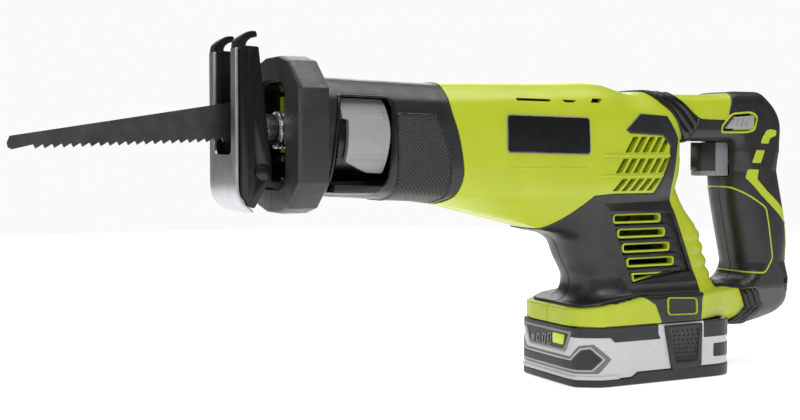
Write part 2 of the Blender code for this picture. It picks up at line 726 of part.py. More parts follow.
def rotor():
    """Shaft, stack and commutator in one turned solid, then the fan and the pinion on it."""
    start = -0.1085
    outline = ((0, 0.1030), (0.0025, 0.1030), (0.0025, 0.0960), (0.0070, 0.0960), (0.0070, 0.0860),
               (0.0100, 0.0820), (0.0142, 0.0820), (0.0142, 0.0440), (0.0100, 0.0440), (0.0045, 0.0405),
               (0.0025, 0.0405), (0.0025, 0.0), (0, 0.0))
    turned("rotor", "X", (start, 0, AXIS_Z), outline, "copper", sides=16)
    teeth = []
    for number in range(PINION_TEETH * 2):
        radius = PINION_RADIUS if number % 2 else PINION_RADIUS - 0.0014
        teeth += arc((0, AXIS_Z), radius, 360 / (2 * PINION_TEETH) * number,
                     360 / (2 * PINION_TEETH) * (number + 0.6), 1)
    bore = arc((0, AXIS_Z), 0.0028, 0, 330, 11)
    flat_outline("pinion", [teeth, bore], "YZ", start, start + 0.0080, "steel")
    hub = ring("fan", "X", (-0.0905, 0, AXIS_Z), 0.0070, 0.0028, 0.0090, "dark_plastic", sides=20)
    disc = ring("fan_disc", "X", (-0.0905, 0, AXIS_Z), 0.0195, 0.0060, 0.0015, sides=28)
    blades = []
    for number in range(8):
        vane = block(f"fan_vane_{number + 1}", (-0.0900, -0.0006, 0.0062), (-0.0825, 0.0006, 0.0185))
        turn = Matrix.Rotation(math.radians(45 * number), 4, "X")
        vane.matrix_world = Matrix.Translation((0, 0, AXIS_Z)) @ turn
        blades.append(vane)
    combine(hub, [disc, *blades], "UNION")


# Shoe

def shoe_bracket():
    """The sliding bar that carries the shoe, with two ears for the pivot pin."""
    bar = block("shoe_bracket", (-0.2690, -0.0150, 0.1300), (-0.1760, 0.0150, 0.1328), "dark_steel")
    ears = []
    for name, low, high in (("ear_left", -0.0150, -0.0124), ("ear_right", 0.0124, 0.0150)):
        ear = block(name, (-0.2690, low, 0.1310), (-0.2550, high, 0.1460))
        ears.append(ear)
    pin_hole = rod("bracket_pin_hole", "Y", (SHOE_PIVOT_X, -0.03, SHOE_PIVOT_Z), 0.0029, 0.06, sides=14)
    combine(bar, ears, "UNION")
    combine(bar, [pin_hole], "DIFFERENCE")
    turned("shoe_pivot_pin", "Y", (SHOE_PIVOT_X, -0.0251, SHOE_PIVOT_Z),
           ((0, 0.0502), (0.0042, 0.0502), (0.0042, 0.0487), (0.0026, 0.0487), (0.0026, 0.0015),
            (0.0042, 0.0015), (0.0042, 0.0), (0, 0.0)), "steel", sides=14)


def shoe():
    """A black frame with two side plates and a bright front plate, slotted for the blade."""
    side = [(-0.2764, 0.2110), (-0.2690, 0.2160), (-0.2660, 0.2090), (-0.2635, 0.1900), (-0.2570, 0.1420),
            (-0.2590, 0.1300), (-0.2690, 0.1176), (-0.2735, 0.1180), (-0.2764, 0.1220)]
    plates = []
    for name, low, high in (("shoe_frame", -0.0233, -0.0200), ("plate_right", 0.0200, 0.0233)):
        finish = "black_plastic" if name == "shoe_frame" else None
        plates.append(flat_outline(name, [side], "XZ", low, high, finish))
    web = block("shoe_web", (-0.2764, -0.0210, 0.1190), (-0.2742, 0.0210, 0.1470))
    rails = []
    for name, near, far in (("rail_left", -0.0210, -0.0155), ("rail_right", 0.0155, 0.0210)):
        rails.append(block(name, (-0.2764, near, 0.1460), (-0.2742, far, 0.2090)))
    frame = combine(plates[0], [plates[1], web, *rails], "UNION")
    pin_hole = rod("frame_pin_hole", "Y", (SHOE_PIVOT_X, -0.03, SHOE_PIVOT_Z), 0.0029, 0.06, sides=14)
    combine(frame, [pin_hole], "DIFFERENCE")
    slot = SHOE_SLOT_HALF
    front = [(-0.0236, 0.1200), (0.0236, 0.1200), (0.0233, 0.2126), (slot, 0.2126),
             (slot, SHOE_SLOT_Z + 0.005), (slot - 0.004, SHOE_SLOT_Z), (0.004 - slot, SHOE_SLOT_Z),
             (-slot, SHOE_SLOT_Z + 0.005), (-slot, 0.2126), (-0.0233, 0.2126)]
    flat_outline("shoe_plate", [front], "YZ", SHOE_FACE_X, -0.2764 - GAP, "steel")


# Controls

def trigger():
    profile = [(0.0620, 0.1560), (0.0630, 0.1500), (0.0640, 0.1440), (0.0625, 0.1370), (0.0640, 0.1330),
               (0.0845, 0.1330), (0.0845, 0.1560)]
    body = flat_outline("trigger", [profile], "XZ", -0.0100, 0.0100, "dark_plastic")
    add_bevel(body, 0.002, segments=2, angle=60)
    arm = block("trigger_arm", (0.0800, -0.0040, 0.1400), (0.0895, 0.0040, 0.1480))
    combine(body, [arm], "UNION")
    points = []
    turns = 4
    steps = 10
    for step in range(turns * steps + 1):
        angle = 2 * math.pi * step / steps
        along = 0.0905 + 0.0085 * step / (turns * steps)
        points.append((along, 0.0025 * math.cos(angle), 0.1440 + 0.0025 * math.sin(angle)))
    wire("trigger_spring", points, 0.0003, "steel", resolution=0)


def switch_module():
    block("switch_module", (0.1000, -0.0120, 0.1340), (0.1180, 0.0120, 0.1580), "black_plastic", bevel=0.001)


def lock_off_button():
    body = block("lock_off_button", (0.0806, -0.0230, 0.1649), (0.0979, 0.0230, 0.1731), "grey_plastic",
                 bevel=0.001)
    return body


def wiring():
    """The supply lead from the terminals to the switch, and the lead from the switch to the motor."""
    supply = [(0.010, 0.0065, 0.0950), (0.014, 0.0070, 0.1100), (0.016, 0.0080, 0.1300),
              (0.020, 0.0090, 0.1500), (0.034, 0.0090, 0.1640), (0.056, 0.0090, 0.1645),
              (0.0780, 0.0090, 0.1625), (0.0960, 0.0090, 0.1625), (0.1060, 0.0090, 0.1622),
              (0.1090, 0.0060, 0.1592)]
    back = [(0.1120, -0.0060, 0.1592), (0.1080, -0.0085, 0.1622), (0.0960, -0.0090, 0.1625),
            (0.0780, -0.0090, 0.1625), (0.0560, -0.0090, 0.1645), (0.0300, -0.0090, 0.1650),
            (0.0100, -0.0090, 0.1620), (-0.0040, -0.0090, 0.1600)]
    wire("supply_wire", smooth_route(supply, 24), 0.0011, "red_sleeve", resolution=1)
    wire("motor_wire", smooth_route(back, 20), 0.0011, "rubber", resolution=1)


# Battery

def pack_plan(inset=0.0):
    """The rounded plan of the battery, its front face bowed."""
    outline = [(PACK_FRONT_X, 0.0), (PACK_FRONT_X + 0.0015, 0.022), (PACK_FRONT_X + 0.0065, 0.0345),
               (PACK_FRONT_X + 0.014, PACK_HALF_WIDTH), (PACK_REAR_X - 0.0095, PACK_HALF_WIDTH),
               (PACK_REAR_X - 0.003, 0.036), (PACK_REAR_X, 0.028)]
    outline = mirrored(outline)
    return inset_outline(outline, inset) if inset else outline


def latch_windows(grow=0.0):
    """The places of the two latches: name, low corner, high corner."""
    spots = []
    for name, side in (("latch_left", -1), ("latch_right", 1)):
        near = side * (0.0368 - grow * 4)
        far = side * (0.0412 + grow * 10)
        low = (0.0080 - grow, min(near, far), 0.0080 - grow)
        high = (0.0360 + grow, max(near, far), 0.0365 + grow)
        spots.append((name, low, high))
    return spots


def battery_case():
    windows = [block(name + "_window", low, high) for name, low, high in latch_windows(0.0005)]
    lower = flat_outline("battery_case_lower", [pack_plan()], "XY", 0.0, PACK_SPLIT_Z - SPLIT,
                         "silver_plastic")
    lower_room = flat_outline("lower_room", [pack_plan(PACK_WALL)], "XY", PACK_WALL, 0.05)
    combine(lower, [lower_room, *windows], "DIFFERENCE")
    upper = flat_outline("battery_case_upper", [pack_plan()], "XY", PACK_SPLIT_Z + SPLIT, PACK_TOP_Z,
                         "dark_plastic")
    stem = block("battery_stem", (-STEM_HALF_X, -STEM_HALF_Y, 0.0300), (STEM_HALF_X, STEM_HALF_Y, STEM_TOP_Z),
                 bevel=0.002)
    combine(upper, [stem], "UNION")
    upper_room = flat_outline("upper_room", [pack_plan(PACK_WALL)], "XY", 0.0, PACK_TOP_Z - PACK_WALL)
    stem_room = block("stem_room", (-STEM_HALF_X + 0.002, -STEM_HALF_Y + 0.002, 0.0),
                      (STEM_HALF_X - 0.002, STEM_HALF_Y - 0.002, STEM_TOP_Z - 0.002))
    button_hole = block("button_hole", (-0.0650, -0.0210, 0.0257), (-0.0500, -0.0075, 0.0333))
    combine(upper, [upper_room, stem_room, button_hole, *windows], "DIFFERENCE")


def battery_insides():
    for number in range(5):
        x = (number - 2) * CELL_PITCH
        rod(f"battery_cell_{number + 1}", "Y", (x, -CELL_LENGTH / 2, 0.0132), CELL_RADIUS, CELL_LENGTH,
            "cell_wrap", sides=16)
    block("battery_board", (-0.0480, -0.0300, 0.0240), (0.0480, 0.0300, 0.0256), "board")


def battery_controls():
    for name, low, high in latch_windows():
        block("battery_" + name, low, high, "black_plastic", bevel=0.0006)
    block("gauge_button", (-0.0578, -0.0205, 0.0262), (-0.0520, -0.0080, 0.0328), "lime_plastic",
          bevel=0.0004)


def terminal_block():
    """The tool's contacts, just above the battery's stem."""
    block("terminal_block", (-0.0180, -0.0120, STEM_TOP_Z + 0.0040), (0.0180, 0.0120, 0.0920),
          "black_plastic", bevel=0.001)


def build():
    housing_shells()
    housing_screws()
    badges()
    nose_grip()
    front_boot()
    gearcase()
    plunger_bushes()
    release_lever()
    drive_gear()
    plunger()
    blade_clamp()
    clamp_spring()
    blade()
    motor()
    rotor()
    shoe_bracket()
    shoe()
    trigger()
    switch_module()
    lock_off_button()
    wiring()
    battery_case()
    battery_insides()
    battery_controls()
    terminal_block()


def shade():
    """Smooth shading on round pieces, with their sharp edges kept."""
    for thing in SAW.objects:
        thing.data.shade_smooth()
        thing.data.set_sharp_from_angle(angle=math.radians(35))


build()
shade()
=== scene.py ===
"""The looks of the cordless reciprocating saw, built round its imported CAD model.

Shapes are worked out in millimetres and their meshes are stored in metres. X runs along the tool
towards the rear handle, the tool's left side is at -Y, Z is up, and the battery stands on Z = 0.

A large moulding is a distance field: a function of x, y and z that is negative inside the part.
Its surface is meshed on a grid, its vertices are pulled onto the exact surface, and crisp openings
are then cut with prisms.
"""

import json
import math

import bmesh
import bpy
import numpy as np
from mathutils import Matrix, Vector


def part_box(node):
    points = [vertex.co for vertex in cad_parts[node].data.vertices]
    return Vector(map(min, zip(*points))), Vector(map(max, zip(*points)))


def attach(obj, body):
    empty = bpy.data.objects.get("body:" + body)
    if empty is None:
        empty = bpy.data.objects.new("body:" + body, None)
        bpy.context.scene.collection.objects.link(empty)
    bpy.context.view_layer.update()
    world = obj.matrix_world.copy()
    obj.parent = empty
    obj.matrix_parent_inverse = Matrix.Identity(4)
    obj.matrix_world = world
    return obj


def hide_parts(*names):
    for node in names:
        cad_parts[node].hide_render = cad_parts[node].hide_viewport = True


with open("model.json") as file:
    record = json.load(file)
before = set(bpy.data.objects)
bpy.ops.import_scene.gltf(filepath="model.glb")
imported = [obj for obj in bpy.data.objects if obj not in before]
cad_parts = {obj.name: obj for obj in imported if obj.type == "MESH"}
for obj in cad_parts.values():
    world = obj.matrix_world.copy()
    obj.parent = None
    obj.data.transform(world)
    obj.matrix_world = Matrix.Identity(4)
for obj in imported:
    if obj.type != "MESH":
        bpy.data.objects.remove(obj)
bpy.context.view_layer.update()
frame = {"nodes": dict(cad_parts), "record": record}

MM = 0.001
SEAM = 0.15            # half the gap between the two housing halves
WALL = 2.6             # thickness of the housing's shells
HOUSING = "housing"


# ---------------------------------------------------------------- outlines

def rounded(corners, steps=4):
    """A closed outline from corners (u, v, radius), each rounded by a short curve."""
    points = []
    count = len(corners)
    for index, (u, v, radius) in enumerate(corners):
        if radius <= 0:
            points.append((u, v))
            continue
        before = corners[index - 1]
        after = corners[(index + 1) % count]
        ends = []
        for other in (before, after):
            du = other[0] - u
            dv = other[1] - v
            length = math.hypot(du, dv)
            reach = min(radius, 0.48 * length)
            ends.append((u + du / length * reach, v + dv / length * reach))
        (u0, v0), (u1, v1) = ends
        for step in range(steps + 1):
            t = step / steps
            a, b, c = (1 - t) ** 2, 2 * t * (1 - t), t * t
            points.append((a * u0 + b * u + c * u1, a * v0 + b * v + c * v1))
    return points


def evenly_rounded(points, radius, steps=3):
    return rounded([(u, v, radius) for u, v in points], steps)


def arc(centre, radius, start, end, steps):
    """Points on an arc, with angles in degrees."""
    points = []
    for step in range(steps + 1):
        angle = math.radians(start + (end - start) * step / steps)
        points.append((centre[0] + radius * math.cos(angle), centre[1] + radius * math.sin(angle)))
    return points


def smooth_line(knots, per_span=6):
    """Points along a smooth curve through knots."""
    padded = [knots[0], *knots, knots[-1]]
    points = []
    for p0, p1, p2, p3 in zip(padded, padded[1:], padded[2:], padded[3:]):
        for step in range(per_span):
            t = step / per_span
            points.append(tuple(
                0.5 * (2 * b + (c - a) * t + (2 * a - 5 * b + 4 * c - d) * t * t
                       + (3 * b - a - 3 * c + d) * t ** 3)
                for a, b, c, d in zip(p0, p1, p2, p3)))
    points.append(tuple(knots[-1]))
    return points


# ---------------------------------------------------------------- distance fields

def smooth_min(a, b, reach):
    blend = np.maximum(reach - np.abs(a - b), 0) / reach
    return np.minimum(a, b) - blend * blend * reach / 4


def smooth_max(a, b, reach):
    return -smooth_min(-a, -b, reach)


def stations(table):
    """A function of the first column that returns the other columns, smoothly interpolated."""
    knots = np.array(table, float)
    where = knots[:, 0]
    values = knots[:, 1:]
    slopes = np.gradient(values, where, axis=0)

    def at(position):
        position = np.clip(position, where[0], where[-1])
        span = np.clip(np.searchsorted(where, position, side="right") - 1, 0, len(where) - 2)
        width = where[span + 1] - where[span]
        t = (position - where[span]) / width
        out = []
        for column in range(values.shape[1]):
            a = values[span, column]
            b = values[span + 1, column]
            da = slopes[span, column] * width
            db = slopes[span + 1, column] * width
            out.append(a * (1 + 2 * t) * (1 - t) ** 2 + da * t * (1 - t) ** 2
                       + b * t * t * (3 - 2 * t) + db * t * t * (t - 1))
        return out
    return at


def outline_distance(outline, u, v):
    """Signed distance to a closed outline, negative inside."""
    nearest = np.full(np.broadcast(u, v).shape, 1e9)
    inside = np.zeros(nearest.shape, bool)
    for (au, av), (bu, bv) in zip(outline, outline[1:] + outline[:1]):
        eu, ev = bu - au, bv - av
        length = eu * eu + ev * ev
        if length < 1e-12:
            continue
        pu, pv = u - au, v - av
        t = np.clip((pu * eu + pv * ev) / length, 0, 1)
        nearest = np.minimum(nearest, (pu - t * eu) ** 2 + (pv - t * ev) ** 2)
        if abs(ev) > 1e-9:
            inside ^= ((av > v) != (bv > v)) & (pu < eu * pv / ev)
    return np.where(inside, -1.0, 1.0) * np.sqrt(nearest)


def line_distance(points, u, v):
    """Distance to an open line of points."""
    nearest = np.full(np.broadcast(u, v).shape, 1e9)
    for (au, av), (bu, bv) in zip(points, points[1:]):
        eu, ev = bu - au, bv - av
        pu, pv = u - au, v - av
        t = np.clip((pu * eu + pv * ev) / (eu * eu + ev * ev), 0, 1)
        nearest = np.minimum(nearest, (pu - t * eu) ** 2 + (pv - t * ev) ** 2)
    return np.sqrt(nearest)


def plate_distance(flat, across, half, edge):
    """A flat outline's distance made solid from -half to half across, with rounded edges."""
    a = flat + edge
    b = np.abs(across) - half + edge
    return np.hypot(np.maximum(a, 0), np.maximum(b, 0)) + np.minimum(np.maximum(a, b), 0) - edge


def box_distance(x, y, z, low, high):
    parts = [np.maximum(a - value, value - b) for value, a, b in zip((x, y, z), low, high)]
    return np.maximum(np.maximum(parts[0], parts[1]), parts[2])


# ---------------------------------------------------------------- meshes from fields

def gradient(field, points, step=0.04):
    x, y, z = points.T
    return np.stack([
        (field(x + step, y, z) - field(x - step, y, z)) / (2 * step),
        (field(x, y + step, z) - field(x, y - step, z)) / (2 * step),
        (field(x, y, z + step) - field(x, y, z - step)) / (2 * step)], axis=1)


def field_surface(field, low, high, voxel):
    """Vertices and quads of the surface where a field is zero, closed at the box."""
    low = np.array(low, float)
    high = np.array(high, float)
    counts = np.ceil((high - low) / voxel).astype(int) + 3
    axes = [low[i] + voxel * (np.arange(counts[i]) - 1) for i in range(3)]
    x = axes[0][:, None, None]
    y = axes[1][None, :, None]
    z = axes[2][None, None, :]
    boxed = np.maximum(field(x, y, z), box_distance(x, y, z, low, high)).astype(np.float32)
    inside = boxed < 0
    some = np.zeros(tuple(counts - 1), bool)
    every = np.ones(tuple(counts - 1), bool)
    corners = [(i, j, k) for i in (0, 1) for j in (0, 1) for k in (0, 1)]
    for i, j, k in corners:
        part = inside[i:i + counts[0] - 1, j:j + counts[1] - 1, k:k + counts[2] - 1]
        some |= part
        every &= part
    active = some & ~every
    cells = np.argwhere(active)
    number = np.full(active.shape, -1, np.int64)
    number[active] = np.arange(len(cells))
    values = np.stack([boxed[cells[:, 0] + i, cells[:, 1] + j, cells[:, 2] + k] for i, j, k in corners])
    total = np.zeros((len(cells), 3))
    crossings = np.zeros(len(cells))
    for a, first in enumerate(corners):
        for b, second in enumerate(corners):
            if b <= a or sum(abs(p - q) for p, q in zip(first, second)) != 1:
                continue
            crossed = (values[a] < 0) != (values[b] < 0)
            gap = np.where(crossed, values[a] - values[b], 1)
            t = np.where(crossed, values[a] / gap, 0)[:, None]
            place = np.array(first) + t * (np.array(second) - np.array(first))
            total += np.where(crossed[:, None], place, 0)
            crossings += crossed
    origin = np.array([axis[0] for axis in axes])
    points = origin + voxel * (cells + total / crossings[:, None])
    quads = []
    for axis in range(3):
        along = [slice(1, -1)] * 3
        along[axis] = slice(0, -1)
        ahead = [slice(1, -1)] * 3
        ahead[axis] = slice(1, None)
        first = inside[tuple(along)]
        change = np.argwhere(first != inside[tuple(ahead)])
        solid_first = first[tuple(change.T)]
        offsets = np.zeros((4, 3), int)
        side_a, side_b = (axis + 1) % 3, (axis + 2) % 3
        offsets[1, side_a] = 1
        offsets[2, side_a] = 1
        offsets[2, side_b] = 1
        offsets[3, side_b] = 1
        corner_cells = [number[tuple((change + offset).T)] for offset in offsets]
        quad = np.stack(corner_cells, axis=1)
        quad[~solid_first] = quad[~solid_first][:, ::-1]
        quads.append(quad)

    def boxed_field(px, py, pz):
        return np.maximum(field(px, py, pz), box_distance(px, py, pz, low, high))

    for _ in range(3):
        slope = gradient(boxed_field, points)
        level = boxed_field(*points.T)
        size = np.maximum((slope ** 2).sum(axis=1), 0.05)
        move = -slope * (level / size)[:, None]
        length = np.linalg.norm(move, axis=1)
        move *= np.minimum(1, 0.5 * voxel / np.maximum(length, 1e-9))[:, None]
        points = points + move
    return points, np.concatenate(quads)


def new_object(name, points, faces):
    """An object from points in millimetres."""
    mesh = bpy.data.meshes.new(name)
    mesh.from_pydata((np.asarray(points) * MM).tolist(), [], [tuple(face) for face in faces])
    mesh.update()
    made = bpy.data.objects.new(name, mesh)
    bpy.context.scene.collection.objects.link(made)
    return made


def field_object(name, field, low, high, voxel):
    points, quads = field_surface(field, low, high, voxel)
    return new_object(name, points, quads.tolist())


def prism(name, outline, low, high, axis="Y"):
    """A closed solid of an outline, straight along an axis. The outline is in the other two axes."""
    order = {"X": (2, 0, 1), "Y": (0, 2, 1), "Z": (0, 1, 2)}[axis]
    count = len(outline)
    rings = []
    for level in (low, high):
        for u, v in outline:
            flat = (u, v, level)
            rings.append(tuple(flat[order[i]] for i in range(3)))
    faces = [tuple(range(count)), tuple(reversed(range(count, 2 * count)))]
    for i in range(count):
        j = (i + 1) % count
        faces.append((i, i + count, j + count, j))
    made = new_object(name, rings, faces)
    outward_faces(made)
    return made


def outward_faces(target):
    shape = bmesh.new()
    shape.from_mesh(target.data)
    bmesh.ops.recalc_face_normals(shape, faces=shape.faces)
    shape.to_mesh(target.data)
    shape.free()


def joined(name, pieces):
    """Several objects' meshes in one object. The pieces are removed."""
    shape = bmesh.new()
    for piece in pieces:
        shape.from_mesh(piece.data)
        discard(piece)
    mesh = bpy.data.meshes.new(name)
    shape.to_mesh(mesh)
    shape.free()
    made = bpy.data.objects.new(name, mesh)
    bpy.context.scene.collection.objects.link(made)
    return made


def discard(piece):
    mesh = piece.data
    bpy.data.objects.remove(piece)
    if mesh.users == 0:
        bpy.data.meshes.remove(mesh)


def apply_modifiers(target):
    depsgraph = bpy.context.evaluated_depsgraph_get()
    mesh = bpy.data.meshes.new_from_object(target.evaluated_get(depsgraph))
    old = target.data
    target.modifiers.clear()
    target.data = mesh
    bpy.data.meshes.remove(old)


def combine(target, other, operation, solver="MANIFOLD"):
    """Cuts, joins or intersects target with other, which is removed."""
    modifier = target.modifiers.new("combine", "BOOLEAN")
    modifier.operation = operation
    modifier.solver = solver
    modifier.object = other
    before = len(target.data.polygons)
    apply_modifiers(target)
    if before == 0 or len(target.data.polygons) == 0:
        print("empty after", operation, target.name, other.name)
    discard(other)


def across(side, inner, outer):
    """The lower and the higher y of a slab between two distances from the middle, on one side."""
    return sorted((side * inner, side * outer))


def slab(name, x_range, y_range, z_range):
    """A plain block."""
    (left, right), (low, high) = x_range, z_range
    return prism(name, [(left, low), (right, low), (right, high), (left, high)], *y_range)


def bevel(target, width, segments=2, angle=35):
    modifier = target.modifiers.new("bevel", "BEVEL")
    modifier.width = width * MM
    modifier.segments = segments
    modifier.limit_method = "ANGLE"
    modifier.angle_limit = math.radians(angle)
    modifier.harden_normals = False
    apply_modifiers(target)


def shade(target, angle=35):
    target.data.shade_smooth()
    target.data.set_sharp_from_angle(angle=math.radians(angle))


def shade_from_field(target, field, angle=35, agree=0.75):
    """Smooth shading whose normals come from the field wherever the surface follows it."""
    shade(target, angle)
    mesh = target.data
    points = np.empty(len(mesh.vertices) * 3)
    mesh.vertices.foreach_get("co", points)
    slope = gradient(field, points.reshape(-1, 3) / MM, 0.15)
    slope /= np.maximum(np.linalg.norm(slope, axis=1, keepdims=True), 1e-9)
    corner_vertex = np.empty(len(mesh.loops), np.int64)
    mesh.loops.foreach_get("vertex_index", corner_vertex)
    corner_normal = np.empty(len(mesh.loops) * 3)
    mesh.corner_normals.foreach_get("vector", corner_normal)
    corner_normal = corner_normal.reshape(-1, 3)
    sizes = np.empty(len(mesh.polygons), np.int64)
    mesh.polygons.foreach_get("loop_total", sizes)
    face_normal = np.empty(len(mesh.polygons) * 3)
    mesh.polygons.foreach_get("normal", face_normal)
    face_normal = np.repeat(face_normal.reshape(-1, 3), sizes, axis=0)
    wanted = slope[corner_vertex]
    follows = (wanted * face_normal).sum(axis=1) > agree
    corner_normal[follows] = wanted[follows]
    mesh.normals_split_custom_set(corner_normal.tolist())


# ---------------------------------------------------------------- materials

def linear(value):
    value /= 255
    return value / 12.92 if value <= 0.04045 else ((value + 0.055) / 1.055) ** 2.4


def colour(red, green, blue):
    return (linear(red), linear(green), linear(blue), 1)


class Nodes:
    """A short way to write a material's nodes."""

    def __init__(self, name):
        self.material = bpy.data.materials.new(name)
        self.material.use_nodes = True
        self.tree = self.material.node_tree
        self.shader = self.tree.nodes["Principled BSDF"]
        self.place = self.add("ShaderNodeTexCoord").outputs["Object"]

    def add(self, kind, **settings):
        node = self.tree.nodes.new(kind)
        for key, value in settings.items():
            setattr(node, key, value)
        return node

    def link(self, source, target):
        self.tree.links.new(source, target)

    def noise(self, scale, detail=2.0, stretch=(1, 1, 1)):
        """Noise whose grains are about 1 / scale metres."""
        mapping = self.add("ShaderNodeMapping")
        mapping.inputs["Scale"].default_value = stretch
        self.link(self.place, mapping.inputs["Vector"])
        node = self.add("ShaderNodeTexNoise")
        node.inputs["Scale"].default_value = scale
        node.inputs["Detail"].default_value = detail
        self.link(mapping.outputs["Vector"], node.inputs["Vector"])
        return node.outputs["Fac"]

    def cells(self, scale, feature="F1"):
        node = self.add("ShaderNodeTexVoronoi", feature=feature)
        node.inputs["Scale"].default_value = scale
        self.link(self.place, node.inputs["Vector"])
        return node.outputs["Distance"]

    def ranged(self, source, low, high, start=0.3, end=0.7):
        node = self.add("ShaderNodeMapRange")
        node.inputs["From Min"].default_value = start
        node.inputs["From Max"].default_value = end
        node.inputs["To Min"].default_value = low
        node.inputs["To Max"].default_value = high
        self.link(source, node.inputs["Value"])
        return node.outputs["Result"]

    def mixed(self, source, first, second):
        node = self.add("ShaderNodeMix", data_type="RGBA")
        self.link(source, node.inputs["Factor"])
        node.inputs[6].default_value = first
        node.inputs[7].default_value = second
        return node.outputs[2]

    def bumps(self, *layers):
        """Bump from (height, depth in metres) layers."""
        normal = None
        for height, depth in layers:
            node = self.add("ShaderNodeBump")
            node.inputs["Strength"].default_value = 1
            node.inputs["Distance"].default_value = depth
            self.link(height, node.inputs["Height"])
            if normal:
                self.link(normal, node.inputs["Normal"])
            normal = node.outputs["Normal"]
        self.link(normal, self.shader.inputs["Normal"])

    def set(self, **values):
        for key, value in values.items():
            self.shader.inputs[key.replace("_", " ")].default_value = value


def plastic(name, shade_a, shade_b, roughness, grain=1700, grain_depth=0.00004, spread=0.08):
    """Moulded plastic: a fine spark-eroded grain, faint cloudiness and uneven gloss."""
    nodes = Nodes(name)
    nodes.link(nodes.mixed(nodes.ranged(nodes.noise(45, 3), 0, 1), shade_a, shade_b),
               nodes.shader.inputs["Base Color"])
    nodes.link(nodes.ranged(nodes.noise(160, 4), roughness - spread, roughness + spread),
               nodes.shader.inputs["Roughness"])
    nodes.bumps((nodes.noise(grain, 3), grain_depth), (nodes.noise(70, 2), grain_depth * 2))
    return nodes.material


def metal(name, shade_a, shade_b, roughness, stretch=(1, 1, 1), grain=900, depth=0.000006, spread=0.05):
    """Metal with a brushed or ground grain and patchy gloss."""
    nodes = Nodes(name)
    nodes.set(Metallic=1.0)
    nodes.link(nodes.mixed(nodes.ranged(nodes.noise(90, 4), 0, 1), shade_a, shade_b),
               nodes.shader.inputs["Base Color"])
    nodes.link(nodes.ranged(nodes.noise(grain, 3, stretch), roughness - spread, roughness + spread),
               nodes.shader.inputs["Roughness"])
    nodes.bumps((nodes.noise(grain, 2, stretch), depth))
    return nodes.material


def rubber(name, shade_a, shade_b, roughness=0.62):
    """Soft overmould: a pebbled skin with dust in its pores."""
    nodes = Nodes(name)
    nodes.link(nodes.mixed(nodes.ranged(nodes.noise(60, 5), 0, 1), shade_a, shade_b),
               nodes.shader.inputs["Base Color"])
    nodes.link(nodes.ranged(nodes.noise(220, 3), roughness - 0.08, roughness + 0.1),
               nodes.shader.inputs["Roughness"])
    nodes.bumps((nodes.cells(1500), 0.00006), (nodes.noise(2600, 2), 0.00003))
    return nodes.material


def dotted(name, shade_a, shade_b):
    """Plastic with a close pattern of round pimples."""
    nodes = Nodes(name)
    nodes.link(nodes.mixed(nodes.ranged(nodes.noise(45, 3), 0, 1), shade_a, shade_b),
               nodes.shader.inputs["Base Color"])
    nodes.set(Roughness=0.45)
    mapping = nodes.add("ShaderNodeMapping")
    mapping.inputs["Rotation"].default_value = (0, math.radians(45), 0)
    mapping.inputs["Scale"].default_value = (1, 0, 1)
    nodes.link(nodes.place, mapping.inputs["Vector"])
    grid = nodes.add("ShaderNodeTexVoronoi")
    grid.inputs["Scale"].default_value = 560
    grid.inputs["Randomness"].default_value = 0
    nodes.link(mapping.outputs["Vector"], grid.inputs["Vector"])
    pimples = nodes.ranged(grid.outputs["Distance"], 1, 0, 0.1, 0.5)
    nodes.bumps((pimples, 0.0005), (nodes.noise(1500, 3), 0.00004))
    return nodes.material


def circuit_board(name):
    nodes = Nodes(name)
    nodes.link(nodes.mixed(nodes.ranged(nodes.cells(500), 0, 1, 0.2, 0.25), colour(30, 92, 52),
                           colour(52, 120, 70)), nodes.shader.inputs["Base Color"])
    nodes.set(Roughness=0.35)
    nodes.bumps((nodes.noise(400, 2), 0.00003))
    return nodes.material


MATERIALS = {
    "lime_plastic": plastic("lime_plastic", colour(176, 190, 36), colour(182, 196, 42), 0.36),
    "dark_plastic": plastic("dark_plastic", colour(30, 30, 32), colour(36, 36, 38), 0.36, 1500, 0.00004),
    "black_plastic": plastic("black_plastic", colour(13, 13, 14), colour(16, 16, 17), 0.26, 2200,
                             0.00001, 0.03),
    "grey_plastic": plastic("grey_plastic", colour(128, 129, 131), colour(138, 139, 141), 0.42),
    "silver_plastic": plastic("silver_plastic", colour(196, 197, 200), colour(200, 201, 204), 0.26, 2400,
                              0.00001, 0.03),
    "lever_grey": plastic("lever_grey", colour(150, 151, 153), colour(160, 161, 163), 0.4),
    "dotted_plastic": dotted("dotted_plastic", colour(34, 34, 36), colour(42, 42, 44)),
    "shoe_face": metal("shoe_face", colour(178, 179, 181), colour(196, 197, 199), 0.38, (1, 1, 6)),
    "label_grey": plastic("label_grey", colour(104, 105, 107), colour(112, 113, 115), 0.38),
    "soft_grey": plastic("soft_grey", colour(84, 84, 86), colour(92, 92, 94), 0.5),
    "bright_lime": plastic("bright_lime", colour(206, 222, 60), colour(212, 228, 70), 0.3),
    "rubber": rubber("rubber", colour(38, 38, 40), colour(44, 44, 46), 0.40),
    "cast_aluminium": metal("cast_aluminium", colour(176, 178, 180), colour(198, 199, 201), 0.45,
                            grain=500, depth=0.00006),
    "steel": metal("steel", colour(196, 197, 199), colour(214, 215, 216), 0.24, depth=0.000005),
    "dark_steel": metal("dark_steel", colour(72, 73, 75), colour(92, 93, 95), 0.42, (1, 1, 8)),
    "sintered_bronze": metal("sintered_bronze", colour(160, 118, 70), colour(178, 134, 84), 0.5,
                             grain=2500, depth=0.00005),
    "copper": metal("copper", colour(190, 112, 70), colour(208, 130, 86), 0.3),
    "magnet": metal("magnet", colour(70, 70, 74), colour(88, 88, 92), 0.55),
    "cell_wrap": plastic("cell_wrap", colour(36, 92, 150), colour(42, 100, 158), 0.3),
    "board": circuit_board("board"),
    "red_sleeve": plastic("red_sleeve", colour(150, 24, 22), colour(164, 30, 28), 0.45),
}


# ---------------------------------------------------------------- placing pieces

